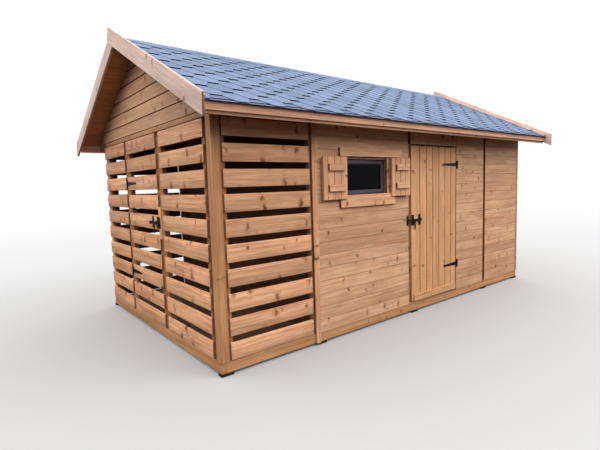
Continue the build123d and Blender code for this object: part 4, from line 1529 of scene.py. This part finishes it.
class Stage(LogStoreOperator, bpy.types.Operator):
    """Camera, soft lamps, pale floor and white background"""

    bl_idname = "log_store.stage"
    bl_label = "Stage"

    def execute(self, context):
        stage = context.scene.log_store_stage
        self.camera(context, stage)
        self.floor(stage)
        self.sky(context, stage)
        self.lamp(stage)
        context.scene.view_settings.view_transform = "Standard"
        return {"FINISHED"}

    def camera(self, context, stage):
        """The photograph's view, in degrees: turned 38.7 from the front, 5.4 down and rolled 1.75."""
        place = (-3.9344, -4.3014, 1.474)
        yaw, pitch, roll = (math.radians(v) for v in (38.6855, -5.4016, -1.75))
        forward = Vector((math.sin(yaw) * math.cos(pitch), math.cos(yaw) * math.cos(pitch), math.sin(pitch)))
        right = Vector((math.cos(yaw), -math.sin(yaw), 0))
        up = right.cross(forward)
        side = right * math.cos(roll) + up * math.sin(roll)
        top = up * math.cos(roll) - right * math.sin(roll)
        data = bpy.data.cameras.new("view")
        data.sensor_width = 36
        data.lens = stage.lens
        view = bpy.data.objects.new("view", data)
        turn = Matrix((side, top, -forward)).transposed()
        view.matrix_world = Matrix.Translation(place) @ turn.to_4x4()
        context.scene.collection.objects.link(view)
        context.scene.camera = view

    def floor(self, stage):
        """A large pale floor that turns to plain white far from the building."""
        deselect()
        bpy.ops.mesh.primitive_plane_add(size=160, location=(0, 0, 0))
        floor = bpy.context.object
        floor.name = "studio_floor"
        material, tree = new_material("studio_floor")
        place = add(tree, "ShaderNodeTexCoord").outputs["Object"]
        reach = add(tree, "ShaderNodeVectorMath", {0: place}, operation="LENGTH").outputs["Value"]
        far = add(tree, "ShaderNodeMapRange", {"Value": reach, **span(5.0, 16.0, 0.0, 1.0)})
        path = add(tree, "ShaderNodeLightPath").outputs["Is Camera Ray"]
        fade = add(tree, "ShaderNodeMath", {0: far, 1: path}, operation="MULTIPLY")
        tones = {"Factor": path, "A": tuple(stage.floor_bounce), "B": tuple(stage.floor)}
        tone = add(tree, "ShaderNodeMix", tones, data_type="RGBA")
        matt = add(tree, "ShaderNodeBsdfDiffuse", {"Color": tone})
        white = add(tree, "ShaderNodeEmission", {"Color": (1.0, 1.0, 1.0), "Strength": 1.0})
        shader = add(tree, "ShaderNodeMixShader", {0: fade, 1: matt, 2: white})
        add(tree, "ShaderNodeOutputMaterial", {"Surface": shader})
        floor.data.materials.append(material)

    def sky(self, context, stage):
        """Soft light from all round, before a white background."""
        world = bpy.data.worlds.new("studio")
        context.scene.world = world
        world.use_nodes = True
        tree = world.node_tree
        tree.nodes.clear()
        path = add(tree, "ShaderNodeLightPath").outputs
        bent = {0: path["Is Glossy Ray"], 1: path["Is Transmission Ray"]}
        mirrored = add(tree, "ShaderNodeMath", bent, operation="MAXIMUM")
        seen = add(tree, "ShaderNodeMath", {0: path["Is Camera Ray"], 1: mirrored}, operation="MAXIMUM")
        # Dark near the horizon, as behind a hedge, brightest a quarter of the way up and softer overhead
        way = add(tree, "ShaderNodeTexCoord").outputs["Generated"]
        up = add(tree, "ShaderNodeSeparateXYZ", {"Vector": way}).outputs["Z"]
        dawn = add(
            tree, "ShaderNodeMapRange", {"Value": up, **span(0.10, 0.38, 0.08, 1.0)},
            interpolation_type="SMOOTHSTEP",
        )
        dome = add(tree, "ShaderNodeMapRange", {"Value": up, **span(0.38, 1.0, 1.0, 0.5)})
        rise = add(tree, "ShaderNodeMath", {0: dawn, 1: dome}, operation="MULTIPLY")
        level = add(tree, "ShaderNodeMath", {0: rise, 1: stage.sky}, operation="MULTIPLY")
        soft = add(tree, "ShaderNodeBackground", {"Color": (1.0, 1.0, 1.0), "Strength": level})
        white = add(tree, "ShaderNodeBackground", {"Color": (1.0, 1.0, 1.0), "Strength": 1.0})
        mix = add(tree, "ShaderNodeMixShader", {0: seen, 1: soft, 2: white})
        add(tree, "ShaderNodeOutputWorld", {"Surface": mix})

    def lamp(self, stage):
        """A wide soft lamp in front and above, aimed at the middle of the building."""
        place = Vector((3.0, -7.5, 11.0))
        aim = Vector((0, 0, 1.2)) - place
        data = bpy.data.lights.new("key_lamp", "AREA")
        data.shape = "DISK"
        data.size = 6.0
        data.energy = stage.key
        lamp = bpy.data.objects.new("key_lamp", data)
        lamp.location = place
        lamp.rotation_mode = "QUATERNION"
        lamp.rotation_quaternion = aim.to_track_quat("-Z", "Y")
        bpy.context.scene.collection.objects.link(lamp)


STEPS = (
    SlatPanels, BoardedWalls, Gables, Timbers, RoofTrim, RoofBoards, Shingles,
    Floors, RoomDoor, StoreDoor, Window, Shutters, Ironwork, Stage,
)


class LogStorePanel(bpy.types.Panel):
    """Settings and steps of the log store"""

    bl_idname = "VIEW3D_PT_log_store"
    bl_label = "Log store"
    bl_space_type = "VIEW_3D"
    bl_region_type = "UI"
    bl_category = "Log store"

    def draw(self, context):
        for group in SETTINGS:
            holder = getattr(context.scene, group)
            box = self.layout.box()
            for name in holder.__annotations__:
                box.prop(holder, name)
        for step in STEPS:
            self.layout.operator(step.bl_idname)


SETTINGS = {
    "log_store_boards": BoardSettings,
    "log_store_roof": RoofSettings,
    "log_store_colours": ColourSettings,
    "log_store_stage": StageSettings,
}


def register():
    for group in SETTINGS.values():
        bpy.utils.register_class(group)
    for item in (*STEPS, LogStorePanel):
        bpy.utils.register_class(item)
    for name, group in SETTINGS.items():
        setattr(bpy.types.Scene, name, bpy.props.PointerProperty(type=group))


def unregister():
    for name in SETTINGS:
        delattr(bpy.types.Scene, name)
    for item in reversed((*SETTINGS.values(), *STEPS, LogStorePanel)):
        bpy.utils.unregister_class(item)


def main():
    """Makes the whole building."""
    register()
    for step in STEPS:
        area, name = step.bl_idname.split(".")
        getattr(getattr(bpy.ops, area), name)()


if __name__ == "__main__":
    main()
